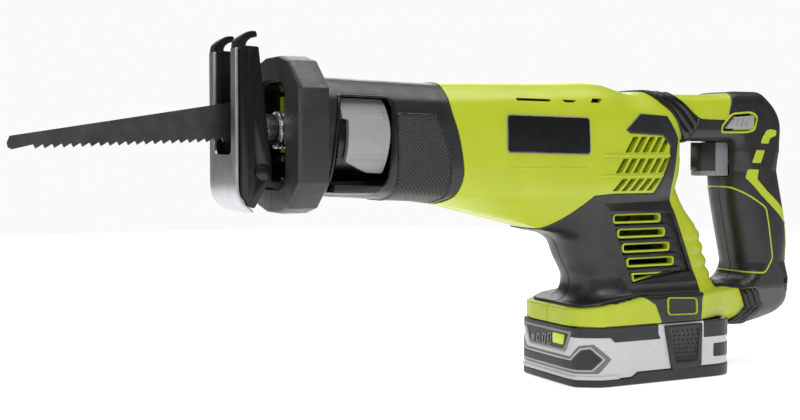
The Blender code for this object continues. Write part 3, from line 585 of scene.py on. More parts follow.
def place(target, body, slot, replaced=(), material=None):
    """Gives a piece its finish and makes it ride on a body of the model."""
    target.data.materials.clear()
    target.data.materials.append(MATERIALS[material or slot])
    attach(target, body)
    if replaced:
        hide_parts(*replaced)


def mirrored_copy(source, name):
    mesh = source.data.copy()
    mesh.transform(Matrix.Diagonal((1, -1, 1, 1)))
    mesh.flip_normals()
    made = bpy.data.objects.new(name, mesh)
    bpy.context.scene.collection.objects.link(made)
    return made


def dress_cad_nodes():
    """Gives every CAD node that stays in view the finish of its material slot."""
    slots = {}
    for row in frame["record"]["subparts"]:
        slots[row["node"]] = row["material_slot"]
    for name, node in frame["nodes"].items():
        slot = slots.get(name, "dark_plastic")
        node.data.materials.clear()
        node.data.materials.append(MATERIALS[slot])


# ---------------------------------------------------------------- the housing's shape

TRUNK = (              # x, top, bottom, half width
    (-222, 194.5, 123.5, 34.5), (-190, 193.5, 121.5, 35.0), (-146, 192.5, 118.0, 36.2),
    (-118, 193.1, 111.5, 37.5), (-94, 193.6, 105.6, 38.2), (-63, 194.3, 98.5, 38.5),
    (-34, 194.6, 98.5, 38.4), (-11, 189.0, 106.0, 36.0), (12, 187.5, 115.0, 32.5),
    (27, 183.0, 122.0, 27.0), (36, 174.0, 133.0, 20.0))
COLUMN = (             # z, front, rear, half width
    (46, -53, 71, 37.0), (51, -47.5, 70, 35.0), (57, -41.5, 69, 32.5), (66, -39.5, 65.5, 29.8),
    (80, -46, 61, 29.2), (98, -55, 54.5, 29.2), (112, -68, 43, 29.5), (125, -85, 36.5, 29.5),
    (142, -85, 33, 27.5))
HANDLE = rounded((     # x, z, corner radius
    (0, 188, 0), (70, 188.4, 4), (84, 190.6, 3), (107.5, 190.6, 4), (119.5, 181, 5), (126, 170, 8),
    (124.5, 147, 10), (134.5, 105, 10), (136.6, 88, 8), (135.2, 55, 8), (133, 43, 7), (124.5, 36.5, 6),
    (95, 29.5, 14), (62, 34.5, 6), (62, 57, 5), (90, 57, 9), (98.5, 64, 6), (87, 115, 8),
    (85, 130, 4), (85, 157.5, 6), (0, 157.5, 0)))
BASE = rounded((       # x, y, corner radius
    (-57.5, -10, 0), (-57.5, 20.5, 5), (-54.5, 31, 4), (-42, 40, 5), (38, 40, 12), (70, 27, 14),
    (90, 18, 8), (91, -10, 0)))
BASE_LOW = 38.3
BASE_HIGH = 56.0
GRIP_HALF = 20.5
trunk_at = stations(TRUNK)
column_at = stations(COLUMN)


def facet(across, height, start, end, rise):
    """A flat cut that starts at one distance from the middle plane and leans in as it rises."""
    return ((across - start) * rise + height * (start - end)) / np.hypot(rise, start - end)


def trunk(x, y, z):
    """Nose and barrel: a rounded box whose upper and lower corners are cut by flat facets."""
    top, bottom, half = trunk_at(x)
    middle = (top + bottom) / 2
    rise = (top - bottom) / 2
    across = np.abs(y)
    power = 3.6
    round_box = ((across / half) ** power + (np.abs(z - middle) / rise) ** power) ** (1 / power)
    shape = (round_box - 1) * np.minimum(half, rise)
    shoulder = facet(across, z - (top - 11), half - 2.2, half * 0.62, 10)
    belly_top = np.maximum(124, bottom + 6)
    belly = facet(across, belly_top - z, half - 1.6, half * 0.5, belly_top - bottom - 1)
    return smooth_max(smooth_max(shape, shoulder, 2), belly, 2)


def column(x, y, z):
    """The upright between barrel and base, flat sided with rounded front and rear."""
    front, rear, half = column_at(z)
    by_fingers = np.clip((100 - z) / 4, 0, 1) * np.clip((z - 60) / 4, 0, 1)
    rear = rear + by_fingers * (2.4 * np.abs(np.sin(np.pi * (z - 63) / 9.0)) - 1.6)
    middle = (front + rear) / 2
    reach = (rear - front) / 2
    power = np.where(x < middle, 2.6, 3.2)
    ring = ((np.abs(x - middle) / reach) ** power + (np.abs(y) / half) ** power) ** (1 / power)
    shape = (ring - 1) * half
    return np.maximum(shape, np.maximum(46 - z, z - 142))


def base(x, y, z):
    """The collar over the battery, lower towards its front."""
    flat = outline_distance(BASE, x, np.abs(y))
    high = BASE_HIGH - 5.8 * np.clip((-8 - x) / 42, 0, 1)
    return plate_distance(flat, z - (BASE_LOW + high) / 2, (high - BASE_LOW) / 2, 1.6)


def handle(x, y, z):
    by_fingers = np.clip((z - 60) / 12, 0, 1) * np.clip((150 - z) / 14, 0, 1)
    return plate_distance(outline_distance(HANDLE, x, z), y, GRIP_HALF, 8 + 7.5 * by_fingers)


def housing(x, y, z):
    """The outer surface of both housing halves together."""
    shape = smooth_min(smooth_max(trunk(x, y, z), x - 36, 8), column(x, y, z), 6)
    return smooth_min(smooth_min(shape, base(x, y, z), 4), handle(x, y, z), 5)


def left_half(field):
    return lambda x, y, z: smooth_max(field(x, y, z), y + SEAM, 0.8)


NOSE_EDGE = smooth_line((      # the curved rear edge of the nose sleeve, x and z
    (-151, 205), (-150, 193), (-148.5, 176), (-143.6, 160), (-140.6, 144), (-140.2, 134),
    (-143, 123.5), (-147, 117), (-149, 108)), 5)


LOCK_WINDOW = evenly_rounded([(69.8, 164.2), (70.2, 166.2), (79.5, 175), (99.8, 176.2), (97.6, 164.4)], 1.2)


LANYARD_HOLE = arc((128.8, 58.5), 2.2, 0, 330, 16)


def vent_slots():
    """Three rows of slanted slots in the barrel's side, the last ones cropped by the dark frame."""
    rows = (           # z top, z bottom, first slot's top x, slant, count
        (159.6, 149.4, -16.6, -7.0, 5), (145.6, 136.2, -24.8, -6.6, 6), (132.6, 124.8, -25.6, -7.6, 5))
    made = []
    for row, (top, bottom, first, slant, count) in enumerate(rows):
        for number in range(count):
            x = first + 7.35 * number
            made.append(prism(f"vent_{row}_{number}", evenly_rounded(
                [(x, top), (x + 4.9, top), (x + 4.9 + slant, bottom), (x + slant, bottom)], 0.8), -60, 60))
    return joined("vent_slots", made)


def column_slots(grow=0.0):
    made = []
    for number in range(4):
        low = 75.9 + 9.55 * number
        front = -16.0 - 3.75 * number
        made.append(evenly_rounded([
            (front - grow, low - grow), (front + 36.4 + grow, low - grow),
            (front + 36.4 + grow, low + 4.7 + grow), (front - grow, low + 4.7 + grow)], 1.6 + grow))
    made.append(rounded([(-12 - grow, 70.4 + grow, 0.8), (10 + 3 * grow, 70.4 + grow, 0.8),
                         (-11 - grow, 66.2 - grow, 0.8)]))
    return made


SCREWS = ((-89, 184.5), (-88, 112.5), (2, 179), (-51, 107.3), (50, 173), (113, 179), (112.5, 108), (122, 50))


def screw_recesses():
    return joined("recesses", [prism(f"recess_{i}", arc((x, z), 3.7, 0, 345, 24), 8.5, 60)
                               for i, (x, z) in enumerate(SCREWS)])


def add_screw_bosses(shell):
    """Posts inside the right half, each with a deep recess down to its screw's head."""
    posts = joined("posts", [prism(f"post_{i}", arc((x, z), 5.6, 0, 345, 24), 0.3, 60)
                             for i, (x, z) in enumerate(SCREWS)])
    inside = field_object("inside", lambda x, y, z: housing(x, y, z) + 1.2,
                          (-152, 0, 26), (141, 42, 197), 2.0)
    combine(posts, inside, "INTERSECT")
    combine(shell, posts, "UNION")
    combine(shell, screw_recesses(), "DIFFERENCE")


def housing_shells():
    low = (-152, -42, 26)
    high = (141, 2, 197)
    shell = field_object("housing_left_shell", left_half(housing), low, high, 1.0)

    def hollow(x, y, z):
        along = bounded((x + 50) / 5) * bounded((24 - x) / 5)
        by_vents = along * bounded((z - 112) / 8) * bounded((175 - z) / 8)
        return housing(x, y, z) + WALL + 2.6 * by_vents

    room = field_object("room", hollow, (-160, -42, 26), (141, 1, 197), 2.0)
    combine(shell, room, "DIFFERENCE")
    front = NOSE_EDGE + [(-170, 108), (-170, 205)]
    combine(shell, prism("front", front, -60, 60), "DIFFERENCE")
    combine(shell, vent_slots(), "DIFFERENCE")
    slots = [prism(f"slot_{i}", outline, -60, 0) for i, outline in enumerate(column_slots(1.0))]
    combine(shell, joined("slots", slots), "DIFFERENCE")
    openings = [
        prism("stem", [(-21, -13.5), (21, -13.5), (21, 5), (-21, 5)], 20, 60, "Z"),
        prism("trigger_mouth", [(80, 132.2), (94, 132.2), (94, 156.6), (80, 156.6)], -10.6, 5),
        prism("lock_mouth", [(80, 164.3), (98.5, 164.3), (98.5, 173.7), (80, 173.7)], -60, 5),
        prism("lock_window", LOCK_WINDOW, -60, -15),
        prism("lanyard_hole", LANYARD_HOLE, -60, 5),
        prism("slit_2", evenly_rounded([(-69.6, 182.4), (-59.2, 182.2), (-61, 180.7), (-68, 180.8)], 0.5),
              -60, 0),
        prism("slit_3", evenly_rounded([(-46.9, 183.6), (-39.5, 183.4), (-41.6, 180.7), (-48.9, 180.8)], 0.5),
              -60, 0),
    ]
    combine(shell, joined("openings", openings), "DIFFERENCE")
    other = mirrored_copy(shell, "housing_right_shell")
    add_screw_bosses(other)
    slit = evenly_rounded([(-102.8, 183), (-78.2, 182.6), (-78.2, 181), (-102.8, 181.4)], 0.6)
    combine(shell, prism("long_slit", slit, -60, 0), "DIFFERENCE")
    for half, node in ((shell, "housing_left"), (other, "housing_right")):
        shade_from_field(half, housing)
        place(half, HOUSING, "lime_plastic", (node,))


# ---------------------------------------------------------------- overmouldings on the housing

def bounded(value):
    return np.clip(value, 0, 1)


def raised(region, height, rim=1.0):
    """The height of a flat-topped overmoulding whose rim is rounded down to the surface."""
    def rise(x, z):
        inward = bounded(-outline_distance(region, x, z) / rim)
        return height * np.sqrt(1 - (1 - inward) ** 2)
    return rise


def skin(name, region, rise, slot, box, voxel=0.9, depth=1.6, under=None, cuts=(), material=None,
         instead=((), ()), mouths=()):
    """A thin moulding over both sides of the housing inside a side-plane region.

    Its outer face stands proud of the housing by rise(x, z). The box is (x low, y low, z low,
    x high, z high), and the cuts are outlines of holes through it.
    """
    under = under or housing

    def outer(x, y, z):
        return under(x, y, z) - rise(x, z)

    def solid(x, y, z):
        level = under(x, y, z)
        shell = np.maximum(level - rise(x, z), -(level + depth))
        return smooth_max(shell, y + SEAM, 0.5)

    low = (box[0], box[1], box[2])
    high = (box[3], 1, box[4])
    left = field_object(name + "_left", solid, low, high, voxel)
    combine(left, prism("region", region, -70, 10), "INTERSECT")
    holes = [prism(f"cut_{i}", cut, -70, 10) for i, cut in enumerate(cuts)]
    holes += [prism(f"mouth_{i}", cut, -half, 10) for i, (cut, half) in enumerate(mouths)]
    if holes:
        combine(left, joined("cuts", holes), "DIFFERENCE")
    right = mirrored_copy(left, name + "_right")
    combine(right, screw_recesses(), "DIFFERENCE")
    for side, nodes in zip((left, right), instead):
        shade_from_field(side, outer)
        place(side, HOUSING, slot, nodes, material)


def ribbon(name, points, width, slot, box, height=0.9, closed=False, under=None, voxel=0.7, both=True):
    """A thin raised line of moulding that follows points in the side plane."""
    line = list(points) + ([points[0]] if closed else [])

    def rise(x, z):
        return height * np.sqrt(1 - bounded(line_distance(line, x, z) / (width / 2)) ** 2)

    def region_level(x, z):
        return line_distance(line, x, z) - width / 2

    under = under or housing

    def outer(x, y, z):
        return under(x, y, z) - rise(x, z)

    def solid(x, y, z):
        level = under(x, y, z)
        shell = np.maximum(level - rise(x, z), -(level + 1.4))
        return smooth_max(smooth_max(shell, y + SEAM, 0.5), region_level(x, z), 0.3)

    made = [field_object(name + "_left", solid, (box[0], box[1], box[2]), (box[3], 1, box[4]), voxel)]
    if both:
        made.append(mirrored_copy(made[0], name + "_right"))
    for side in made:
        shade_from_field(side, outer)
        place(side, HOUSING, slot)


COLUMN_COVER = [       # the dark moulding over the column, the arm round the vents and the strap
    (-84, 94), (-82, 99.5), (-76.5, 101), (-70.9, 103.3), (-64, 107), (-58.3, 110.9), (-51, 117),
    (-45.5, 122.2), (-31, 123.2), (3.4, 122.9), (10.1, 132.8), (16.8, 145.7), (17.3, 153.7),
    (9.8, 160.2), (-19.6, 161.6), (-22.7, 164), (-9.5, 174.5), (15.3, 173.2), (27, 158.8),
    (21.2, 127.5), (20.5, 113), (42.5, 58.5), (39.8, 52.8), (38.3, 36), (6.5, 36), (-0.2, 50.9),
    (-9.2, 56.2), (-30, 53), (-49.8, 51.2), (-72, 51.2)]
RECESS = [(-29.6, 110), (-12.3, 64.4), (10.6, 67.9), (31, 70.4), (34.6, 70.3), (18.6, 109.8)]


def fins():
    """Outlines of the four louvre bars, each with a pointed rear end."""
    outlines = []
    for number in range(4):
        drop = 9.55 * number
        outlines.append([
            (-31 + 3.77 * number, 102.5 - drop), (14.3 + 3.6 * number, 102.9 - drop),
            (19.6 + 3.4 * number, 100.9 - drop), (13.3 + 3.6 * number, 99.6 - drop),
            (-31 + 3.77 * number, 99.8 - drop)])
    return outlines


def column_rise(x, z):
    """Height of the column's moulding: a raised frame round a recess that holds the louvres."""
    inward = bounded(-outline_distance(COLUMN_COVER, x, z) / 1.2)
    edge = 0.7 * np.sqrt(1 - (1 - inward) ** 2)
    from_left = ((x + 33.8) * (109.2 - 61.4) + (z - 109.2) * (33.8 - 15.2)) / 51.3
    from_top = (117.2 - z) / 5.5
    from_base = (z - 57) / 7
    frame_height = 2.4 * bounded(np.minimum(np.minimum(from_left / 3.4, from_top), from_base))
    bars = np.full(np.broadcast(x, z).shape, 9.0)
    for outline in fins():
        bars = np.minimum(bars, outline_distance(outline, x, z))
    bar = bounded(-bars / 0.7 + 0.3)
    hollow = bounded(-outline_distance(RECESS, x, z) / 0.8 + 0.2)
    return edge + frame_height - 2.6 * hollow * (1 - bar)


def column_cover():
    skin("column_cover", COLUMN_COVER, column_rise, "dark_plastic", (-86, -46, 35, 45, 177), 0.8, 1.9,
         cuts=column_slots(0.7))


def slot_rims():
    """The lime rims that line the column's slots, on both sides."""
    rims = []
    for side, start, end in (("left", -31.2, -25.5), ("right", 25.5, 31.2)):
        outer = [prism(f"rim_{i}", outline, start, end) for i, outline in enumerate(column_slots(0.8))]
        inner = [prism(f"hole_{i}", outline, start - 1, end + 1) for i, outline in
                 enumerate(column_slots(-0.35))]
        rim = joined(f"slot_rims_{side}", outer)
        combine(rim, joined("holes", inner), "DIFFERENCE")
        rims.append(rim)
    for rim in rims:
        bevel(rim, 0.25, 1)
        shade(rim)
        place(rim, HOUSING, "lime_plastic")


BRIDGE_RIBS = [(6, 196), (7.3, 188.4), (21.9, 176.1), (33, 163.6), (37, 158), (37.5, 150), (44, 150),
               (43, 158.3), (49.7, 173), (44.7, 176.3), (30.1, 188.4), (28.5, 196)]


def rib_rise(region, start_at, pitch, height, rim=0.9):
    """Rounded ribs side by side, each following a line x = start_at(z)."""
    def rise(x, z):
        along = (x - start_at(z)) / pitch
        inward = bounded(-outline_distance(region, x, z) / rim)
        return 0.5 * inward + height * inward * np.sqrt(np.abs(np.sin(np.pi * along)))
    return rise


def bridge_ribs():
    def start_at(z):
        return np.interp(z, (150, 158, 163.6, 176.1, 188.4, 196), (40, 37.2, 33, 21.9, 7.3, 5))
    skin("bridge_ribs", BRIDGE_RIBS, rib_rise(BRIDGE_RIBS, start_at, 7.6, 1.3), "black_plastic",
         (4, -36, 150, 51, 196), 0.7)


GRIP_COVER = [         # the dark moulding over the head, the rear handle and the arm's top
    (81, 198), (75, 171.2), (52.5, 171.8), (49.9, 172.8), (43.2, 158), (43.2, 150), (66, 120),
    (80, 70), (62, 61), (66, 57.6), (74, 57.2), (88, 54.9), (104.2, 55.2), (127.4, 55.2), (133, 49),
    (150, 49), (150, 198)]
FOOT = [(102.2, 54.9), (127.2, 54.9), (132.8, 48.7), (150, 48.7), (150, 20), (92, 20), (97.4, 33.3),
        (108.6, 42.5)]
FOOT_RIBS = [(86.9, 54.7), (101.9, 54.7), (108.3, 42.5), (97.1, 33.3), (92, 24), (70, 24), (77, 31.2),
             (91.5, 42.5)]


def grip_cover():
    trigger_mouth = [(60, 132.2), (94, 132.2), (94, 156.6), (60, 156.6)]
    skin("grip_cover", GRIP_COVER, raised(GRIP_COVER, 0.7), "dark_plastic", (40, -24, 46, 142, 194),
         0.9, cuts=(LOCK_WINDOW, LANYARD_HOLE), mouths=((trigger_mouth, 10.6),))


def foot():
    skin("foot", FOOT, raised(FOOT, 0.8), "dark_plastic", (90, -24, 26, 142, 57), 0.8,
         material="soft_grey")

    def start_at(z):
        return np.interp(z, (24, 31.2, 42.5, 54.7), (70, 77, 91.8, 86.9))
    skin("foot_ribs", FOOT_RIBS, rib_rise(FOOT_RIBS, start_at, 5.15, 1.5), "black_plastic",
         (68, -34, 24, 110, 57), 0.7)


def grip_lines():
    """The lime lines and dashes on the rear handle."""
    outline = rounded([
        (66, 123.5, 0), (73.5, 120, 4), (84.5, 125.8, 2), (109.8, 110.6, 3), (112.6, 98, 4),
        (116.4, 75, 3), (110, 65, 3), (80, 66.2, 0)], 4)
    ribbon("grip_outline", outline, 1.5, "lime_plastic", (62, -24, 60, 122, 132), 1.2, under=housing)
    panel = [(137.5, 95.2), (131.2, 100.2), (130.4, 97), (133.8, 72.4), (138, 70)]
    ribbon("heel_outline", panel, 1.2, "lime_plastic", (126, -22, 66, 142, 105), 1.2)
    shapes = {
        "dash_upper": [(103.8, 155.3), (105, 159), (109, 164.4), (112.4, 165.5), (118, 164.6),
                       (118, 161), (112, 158.5), (111.3, 155)],
        "dash_middle": [(100, 151), (108, 150.7), (104.4, 141.4), (96.2, 141.8)],
        "stripe": [(93.6, 137.6), (102.8, 137.5), (101.5, 130.8), (110.3, 122.6), (128, 109),
                   (129.8, 99), (127, 101.2), (104.9, 119.5), (92.3, 131.4)],
    }
    for name, outline in shapes.items():
        region = evenly_rounded(outline, 1.0)
        us = [u for u, _ in region]
        vs = [v for _, v in region]
        box = (min(us) - 1, -24, min(vs) - 1, max(us) + 1, max(vs) + 1)
        skin(name, region, raised(region, 1.2, 0.7), "lime_plastic", box, 0.6)
    bezel = rounded([(78.1, 175.6, 3), (95, 176.9, 3), (100.8, 174.3, 3), (98.2, 164.4, 3),
                     (91.2, 163, 3), (69.5, 162.8, 2), (69.2, 166.6, 2)], 4)
    ribbon("lock_bezel", bezel, 1.7, "lime_plastic", (66, -24, 160, 104, 180), 1.3, closed=True)


# ---------------------------------------------------------------- nose

NOSE_WINDOW = rounded([(-220, 183.2, 2), (-189, 182.3, 2), (-186.3, 178, 3), (-186.3, 153.6, 6),
                       (-188.4, 132, 4), (-195.5, 126, 4), (-226.5, 126.8, 2)], 4)
TEXTURE = rounded([(-184, 172.8, 1.5), (-158.5, 172.1, 2), (-148.6, 146.7, 6), (-148.2, 124, 2),
                   (-152.9, 117, 2), (-182.6, 119, 1.5)], 4)
DRIVE_AXIS = 158.0


def nose_surface(x, y, z):
    return trunk(x, y, z) + 0.5


def nose_sleeve():
    """The dark sleeve with its window, the line that frames the window and the dotted panels."""
    def solid(x, y, z):
        level = nose_surface(x, y, z)
        return smooth_max(smooth_max(level, -(level + 2.4), 0.3), -230.5 - x, 0.8)

    sleeve = field_object("nose_sleeve", solid, (-233, -42, 110), (-136, 42, 198), 1.0)
    rear = [(x - 0.35, z) for x, z in NOSE_EDGE]
    combine(sleeve, prism("forward", rear + [(-240, 108), (-240, 205)], -60, 60), "INTERSECT")
    combine(sleeve, prism("window", NOSE_WINDOW, -60, -8), "DIFFERENCE")
    shade_from_field(sleeve, nose_surface)
    place(sleeve, HOUSING, "dark_plastic", ("nose_grip",))
    ribbon("window_frame", NOSE_WINDOW, 2.2, "black_plastic", (-230, -42, 122, -183, 188), 0.9, True,
           nose_surface, both=False)
    skin("nose_texture", TEXTURE, raised(TEXTURE, 0.5), "dark_plastic", (-186, -42, 115, -146, 175), 0.9,
         under=nose_surface, material="dotted_plastic")
    ribbon("texture_edge", TEXTURE, 1.0, "dark_plastic", (-186, -42, 115, -146, 175), 0.9, True, nose_surface)


def nose_inside():
    """The black guide that the lever turns on, seen through the window below it."""
    def solid(x, y, z):
        radial = np.hypot(y, z - DRIVE_AXIS)
        return smooth_max(smooth_max(radial - 27, 24.5 - radial, 0.4), np.abs(x + 206) - 22, 0.6)

    guide = field_object("lever_guide", solid, (-230, -29, 129), (-182, 29, 187), 1.2)
    shade(guide)
    place(guide, HOUSING, "black_plastic")
    rim = rounded([(-224, 126.8, 0), (-196, 126.3, 2), (-191, 130.5, 3), (-223, 131.5, 0)])
    ledge = prism("window_ledge", rim, -33, -22)
    bevel(ledge, 0.6, 2)
    shade(ledge)
    place(ledge, HOUSING, "dark_plastic")


LEVER = rounded([(-218.2, 181.6, 1), (-189.4, 181.0, 1.5), (-187.6, 163.2, 8), (-190.4, 137.6, 1.5),
                 (-200.7, 138.1, 2), (-215.6, 144.6, 1.5), (-214.2, 168.9, 0.8), (-217.8, 169.3, 0.6)], 4)


LEVER_END = (0.609, -0.793)     # normal, in y and z, of the plane that ends the lever's plate


def release_lever():
    """A curved plate round the drive axis, with a raised wedge and lines to push against."""
    marks = [[(-213, 171.5), (-191.5, 173.5), (-191.5, 169.8)],
             [(-212, 150.5), (-201.5, 160.0), (-191.5, 150.5)],
             [(-213.5, 148.6), (-192, 148.6), (-192, 147.6), (-213.5, 147.6)],
             [(-213.5, 146.0), (-192, 146.0), (-192, 145.0), (-213.5, 145.0)]]

    def outer(x, y, z):
        rise = 0.0
        for mark in marks:
            rise = np.maximum(rise, bounded(-outline_distance(mark, x, z) / 0.5 + 0.5))
        return np.hypot(y, z - DRIVE_AXIS) - 34.0 - 0.35 * rise

    def solid(x, y, z):
        plate = smooth_max(outer(x, y, z), 29 - np.hypot(y, z - DRIVE_AXIS), 0.3)
        end = y * LEVER_END[0] + (z - DRIVE_AXIS) * LEVER_END[1]
        return smooth_max(smooth_max(plate, outline_distance(LEVER, x, z), 0.8), end, 0.3)

    lever = field_object("lever_pad", solid, (-220, -36, 135), (-185, -6, 184), 0.6)
    shade_from_field(lever, outer)
    place(lever, "release_lever", "grey_plastic", ("release_lever",), "lever_grey")

    def sleeve(x, y, z):
        radial = np.hypot(y, z - DRIVE_AXIS)
        ring = smooth_max(radial - 30.4, 27.6 - radial, 0.3)
        wedge = smooth_max(-(z - DRIVE_AXIS) * 0.81 + (y * 0.588), (z - DRIVE_AXIS) * 0.766 + y * 0.643, 0.2)
        return smooth_max(smooth_max(ring, wedge, 0.3), np.abs(x + 202) - 18, 0.4)

    # The sleeve is black rather than the lever's grey: painted shade for the dark gap below the pad, inside
    # the window.
    inner = field_object("lever_sleeve", sleeve, (-221, -32, 126), (-183, 10, 190), 1.0)
    shade(inner)
    place(inner, "release_lever", "grey_plastic", (), "black_plastic")


BOOT = ((44, 133), (44, 186), (26, 202), (10, 205.6), (-10, 205.6), (-26, 202), (-44, 186), (-44, 133),
        (-26, 118), (-10, 114.5), (10, 114.5), (26, 118))


def front_boot():
    """The rubber bumper: flat facets with rounded edges, a tall mouth, and a parting line."""
    middle = 159.5
    points = []
    for x, scale in ((-249, 0.94), (-246.8, 1.0), (-231.2, 1.0), (-229.5, 0.86)):
        points += [(x, y * scale, middle + (z - middle) * (scale * 0.25 + 0.75)) for y, z in BOOT]
    count = len(BOOT)
    faces = [tuple(range(count)), tuple(range(3 * count, 4 * count))]
    for ring in range(3):
        for k in range(count):
            a, b = ring * count + k, ring * count + (k + 1) % count
            faces.append((a, b, b + count, a + count))
    boot = new_object("boot", points, faces)
    outward_faces(boot)
    bevel(boot, 0.8, 4, 12)
    mouth = []
    for y, z, start in ((10, 180, 0), (-10, 180, 90), (-10, 140, 180), (10, 140, 270)):
        mouth += arc((y, z), 12, start, start + 90, 8)
    combine(boot, prism("mouth", mouth, -260, -200, "X"), "DIFFERENCE")
    for low, high in ((193.5, 215), (105, 126.5)):
        line = [(-0.25, low), (0.25, low), (0.25, high), (-0.25, high)]
        combine(boot, prism("parting", line, -249.5, -247.6, "X"), "DIFFERENCE")
    shade(boot, 16)
    place(boot, HOUSING, "rubber", ("front_boot",))
    liner = prism("mouth_liner", [(y * 1.03, 160 + (z - 160) * 1.01) for y, z in mouth], -246, -224, "X")
    hole = [(y * 0.9, 160 + (z - 160) * 0.96) for y, z in mouth]
    combine(liner, prism("liner_hole", hole, -250, -220, "X"), "DIFFERENCE")
    shade(liner)
    place(liner, HOUSING, "rubber", (), "black_plastic")
    guides = []
    for side in (-1, 1):
        for low, high in ((170, 183), (149.5, 158)):
            inner, outer = across(side, 15.5, 19.8)
            end = [(inner, low), (outer, low), (outer, high), (inner, high)]
            guides.append(prism("guide", end, -236, -222, "X"))
    guides = joined("shell_guides", guides)
    bevel(guides, 0.6, 2)
    shade(guides)
    place(guides, HOUSING, "lime_plastic")


def clamp_coil():
    """Bright turns of wire round the blade clamp, and the steel stops inside the mouth."""
    def level(x, y, z):
        ring = np.hypot(y, z - 163) - 10.3
        turn = np.abs((x + 243.6 + 1.2) % 2.4 - 1.2)
        return smooth_max(np.hypot(ring, turn) - 0.8, np.abs(x + 243.6) - 3.5, 0.2)

    coil = field_object("clamp_coil", level, (-248, -12, 151), (-239.5, 12, 175), 0.5)
    shade_from_field(coil, level)
    place(coil, "plunger", "steel")
    stops = []
    for side in (-1, 1):
        for z in (131, 144, 186):
            near, far = across(side, 14.5, 19.5)
            stops.append(prism("stop", evenly_rounded([(near, z), (far, z), (far, z + 4), (near, z + 4)], 1),
                               -237, -228, "X"))
    stops = joined("mouth_stops", stops)
    bevel(stops, 0.4, 2)
    shade(stops)
    place(stops, HOUSING, "steel")


# ---------------------------------------------------------------- shoe

SHOE_SIDE = rounded([(-276.5, 207.6, 0.5), (-274.4, 209.6, 0.5), (-265.1, 209.2, 1), (-257.2, 137.5, 3),
                     (-268.2, 118.4, 1.5), (-271.5, 119.8, 2), (-276.5, 127.5, 3)], 3)


def shoe():
    """A bent bright face plate on a black frame with ribbed side plates and two hooks."""
    bent = rounded([(-278.9, 208.2, 0), (-278.9, 124, 9), (-269.5, 115.9, 0), (-268.6, 117.0, 0),
                    (-277.3, 124.6, 8), (-277.0, 208.2, 0)], 6)
    face = prism("shoe_face", bent, -25, 25)
    slot = 15.0
    front = rounded([(-23.6, 110, 0), (23.6, 110, 0), (23.3, 214, 0), (slot, 214, 0), (slot, 148.8, 5),
                     (-slot, 148.8, 5), (-slot, 214, 0), (-23.3, 214, 0)], 5)
    combine(face, prism("face_outline", front, -290, -260, "X"), "INTERSECT")
    bevel(face, 0.35, 3)
    shade(face)
    place(face, "shoe", "steel", ("shoe_plate",), "shoe_face")

    parts = []
    for side in (-1, 1):
        near, far = across(side, 20.0, 23.3)
        parts.append(prism("side_plate", SHOE_SIDE, near, far))
        near, far = across(side, 15.5, 21)
        parts.append(slab("rail", (-276.6, -274.2), (near, far), (146, 208.5)))
    parts.append(prism("web", [(-276.6, 126), (-274.2, 125), (-274.2, 147.5), (-276.6, 147.5)], -20.5, 20.5))
    body = parts[0]
    for part in parts[1:]:
        combine(body, part, "UNION")
    combine(body, prism("pin_hole", arc((-263, 139), 2.9, 0, 345, 23), -40, 40), "DIFFERENCE")
    bevel(body, 0.5, 3)
    shade(body)
    place(body, "shoe", "black_plastic", ("shoe_frame",))

    hook = rounded([(-278.7, 207.5, 0), (-278.2, 212.8, 5), (-272.0, 217.6, 5), (-266.2, 218.0, 1.4),
                    (-265.6, 214.6, 1), (-269.2, 214.0, 2.5), (-272.3, 211.4, 2), (-272.5, 207.5, 0)], 5)
    trims = []
    for side in (-1, 1):
        near, far = across(side, 15.3, 23.1)
        trims.append(prism("hook", hook, near, far))
        near, far = across(side, 23.1, 24.2)
        rib = rounded([(-276.0, 207.5, 0.8), (-273.8, 207.9, 0.8), (-273.8, 124.6, 1), (-276.0, 128.0, 1)])
        trims.append(prism("front_rib", rib, near, far))
        near, far = across(side, 23.1, 23.7)
        trims.append(prism("second_rib", [(-271.4, 207.6), (-268.6, 207.6), (-267.4, 146), (-271.4, 124)],
                           near, far))
    for trim in trims:
        bevel(trim, 0.45, 3)
    trims = joined("shoe_trim", trims)
    shade(trims)
    place(trims, "shoe", "black_plastic")


def pivot_pin():
    pins = [prism("pin", arc((-263, 139), 2.6, 0, 345, 24), -23.5, 23.5)]
    for side in (-1, 1):
        near, far = across(side, 23.4, 24.6)
        pins.append(prism("pin_head", arc((-263, 139), 4.6, 0, 350, 36), near, far))
        near, far = across(side, 24.5, 25.0)
        pins.append(prism("pin_dome", arc((-263, 139), 3.4, 0, 350, 36), near, far))
    for pin in pins[1:]:
        bevel(pin, 0.25, 2)
    pin = joined("pivot_pin", pins)
    shade(pin)
    place(pin, "shoe_bar", "steel", ("shoe_pivot_pin",), "black_plastic")


# ---------------------------------------------------------------- controls

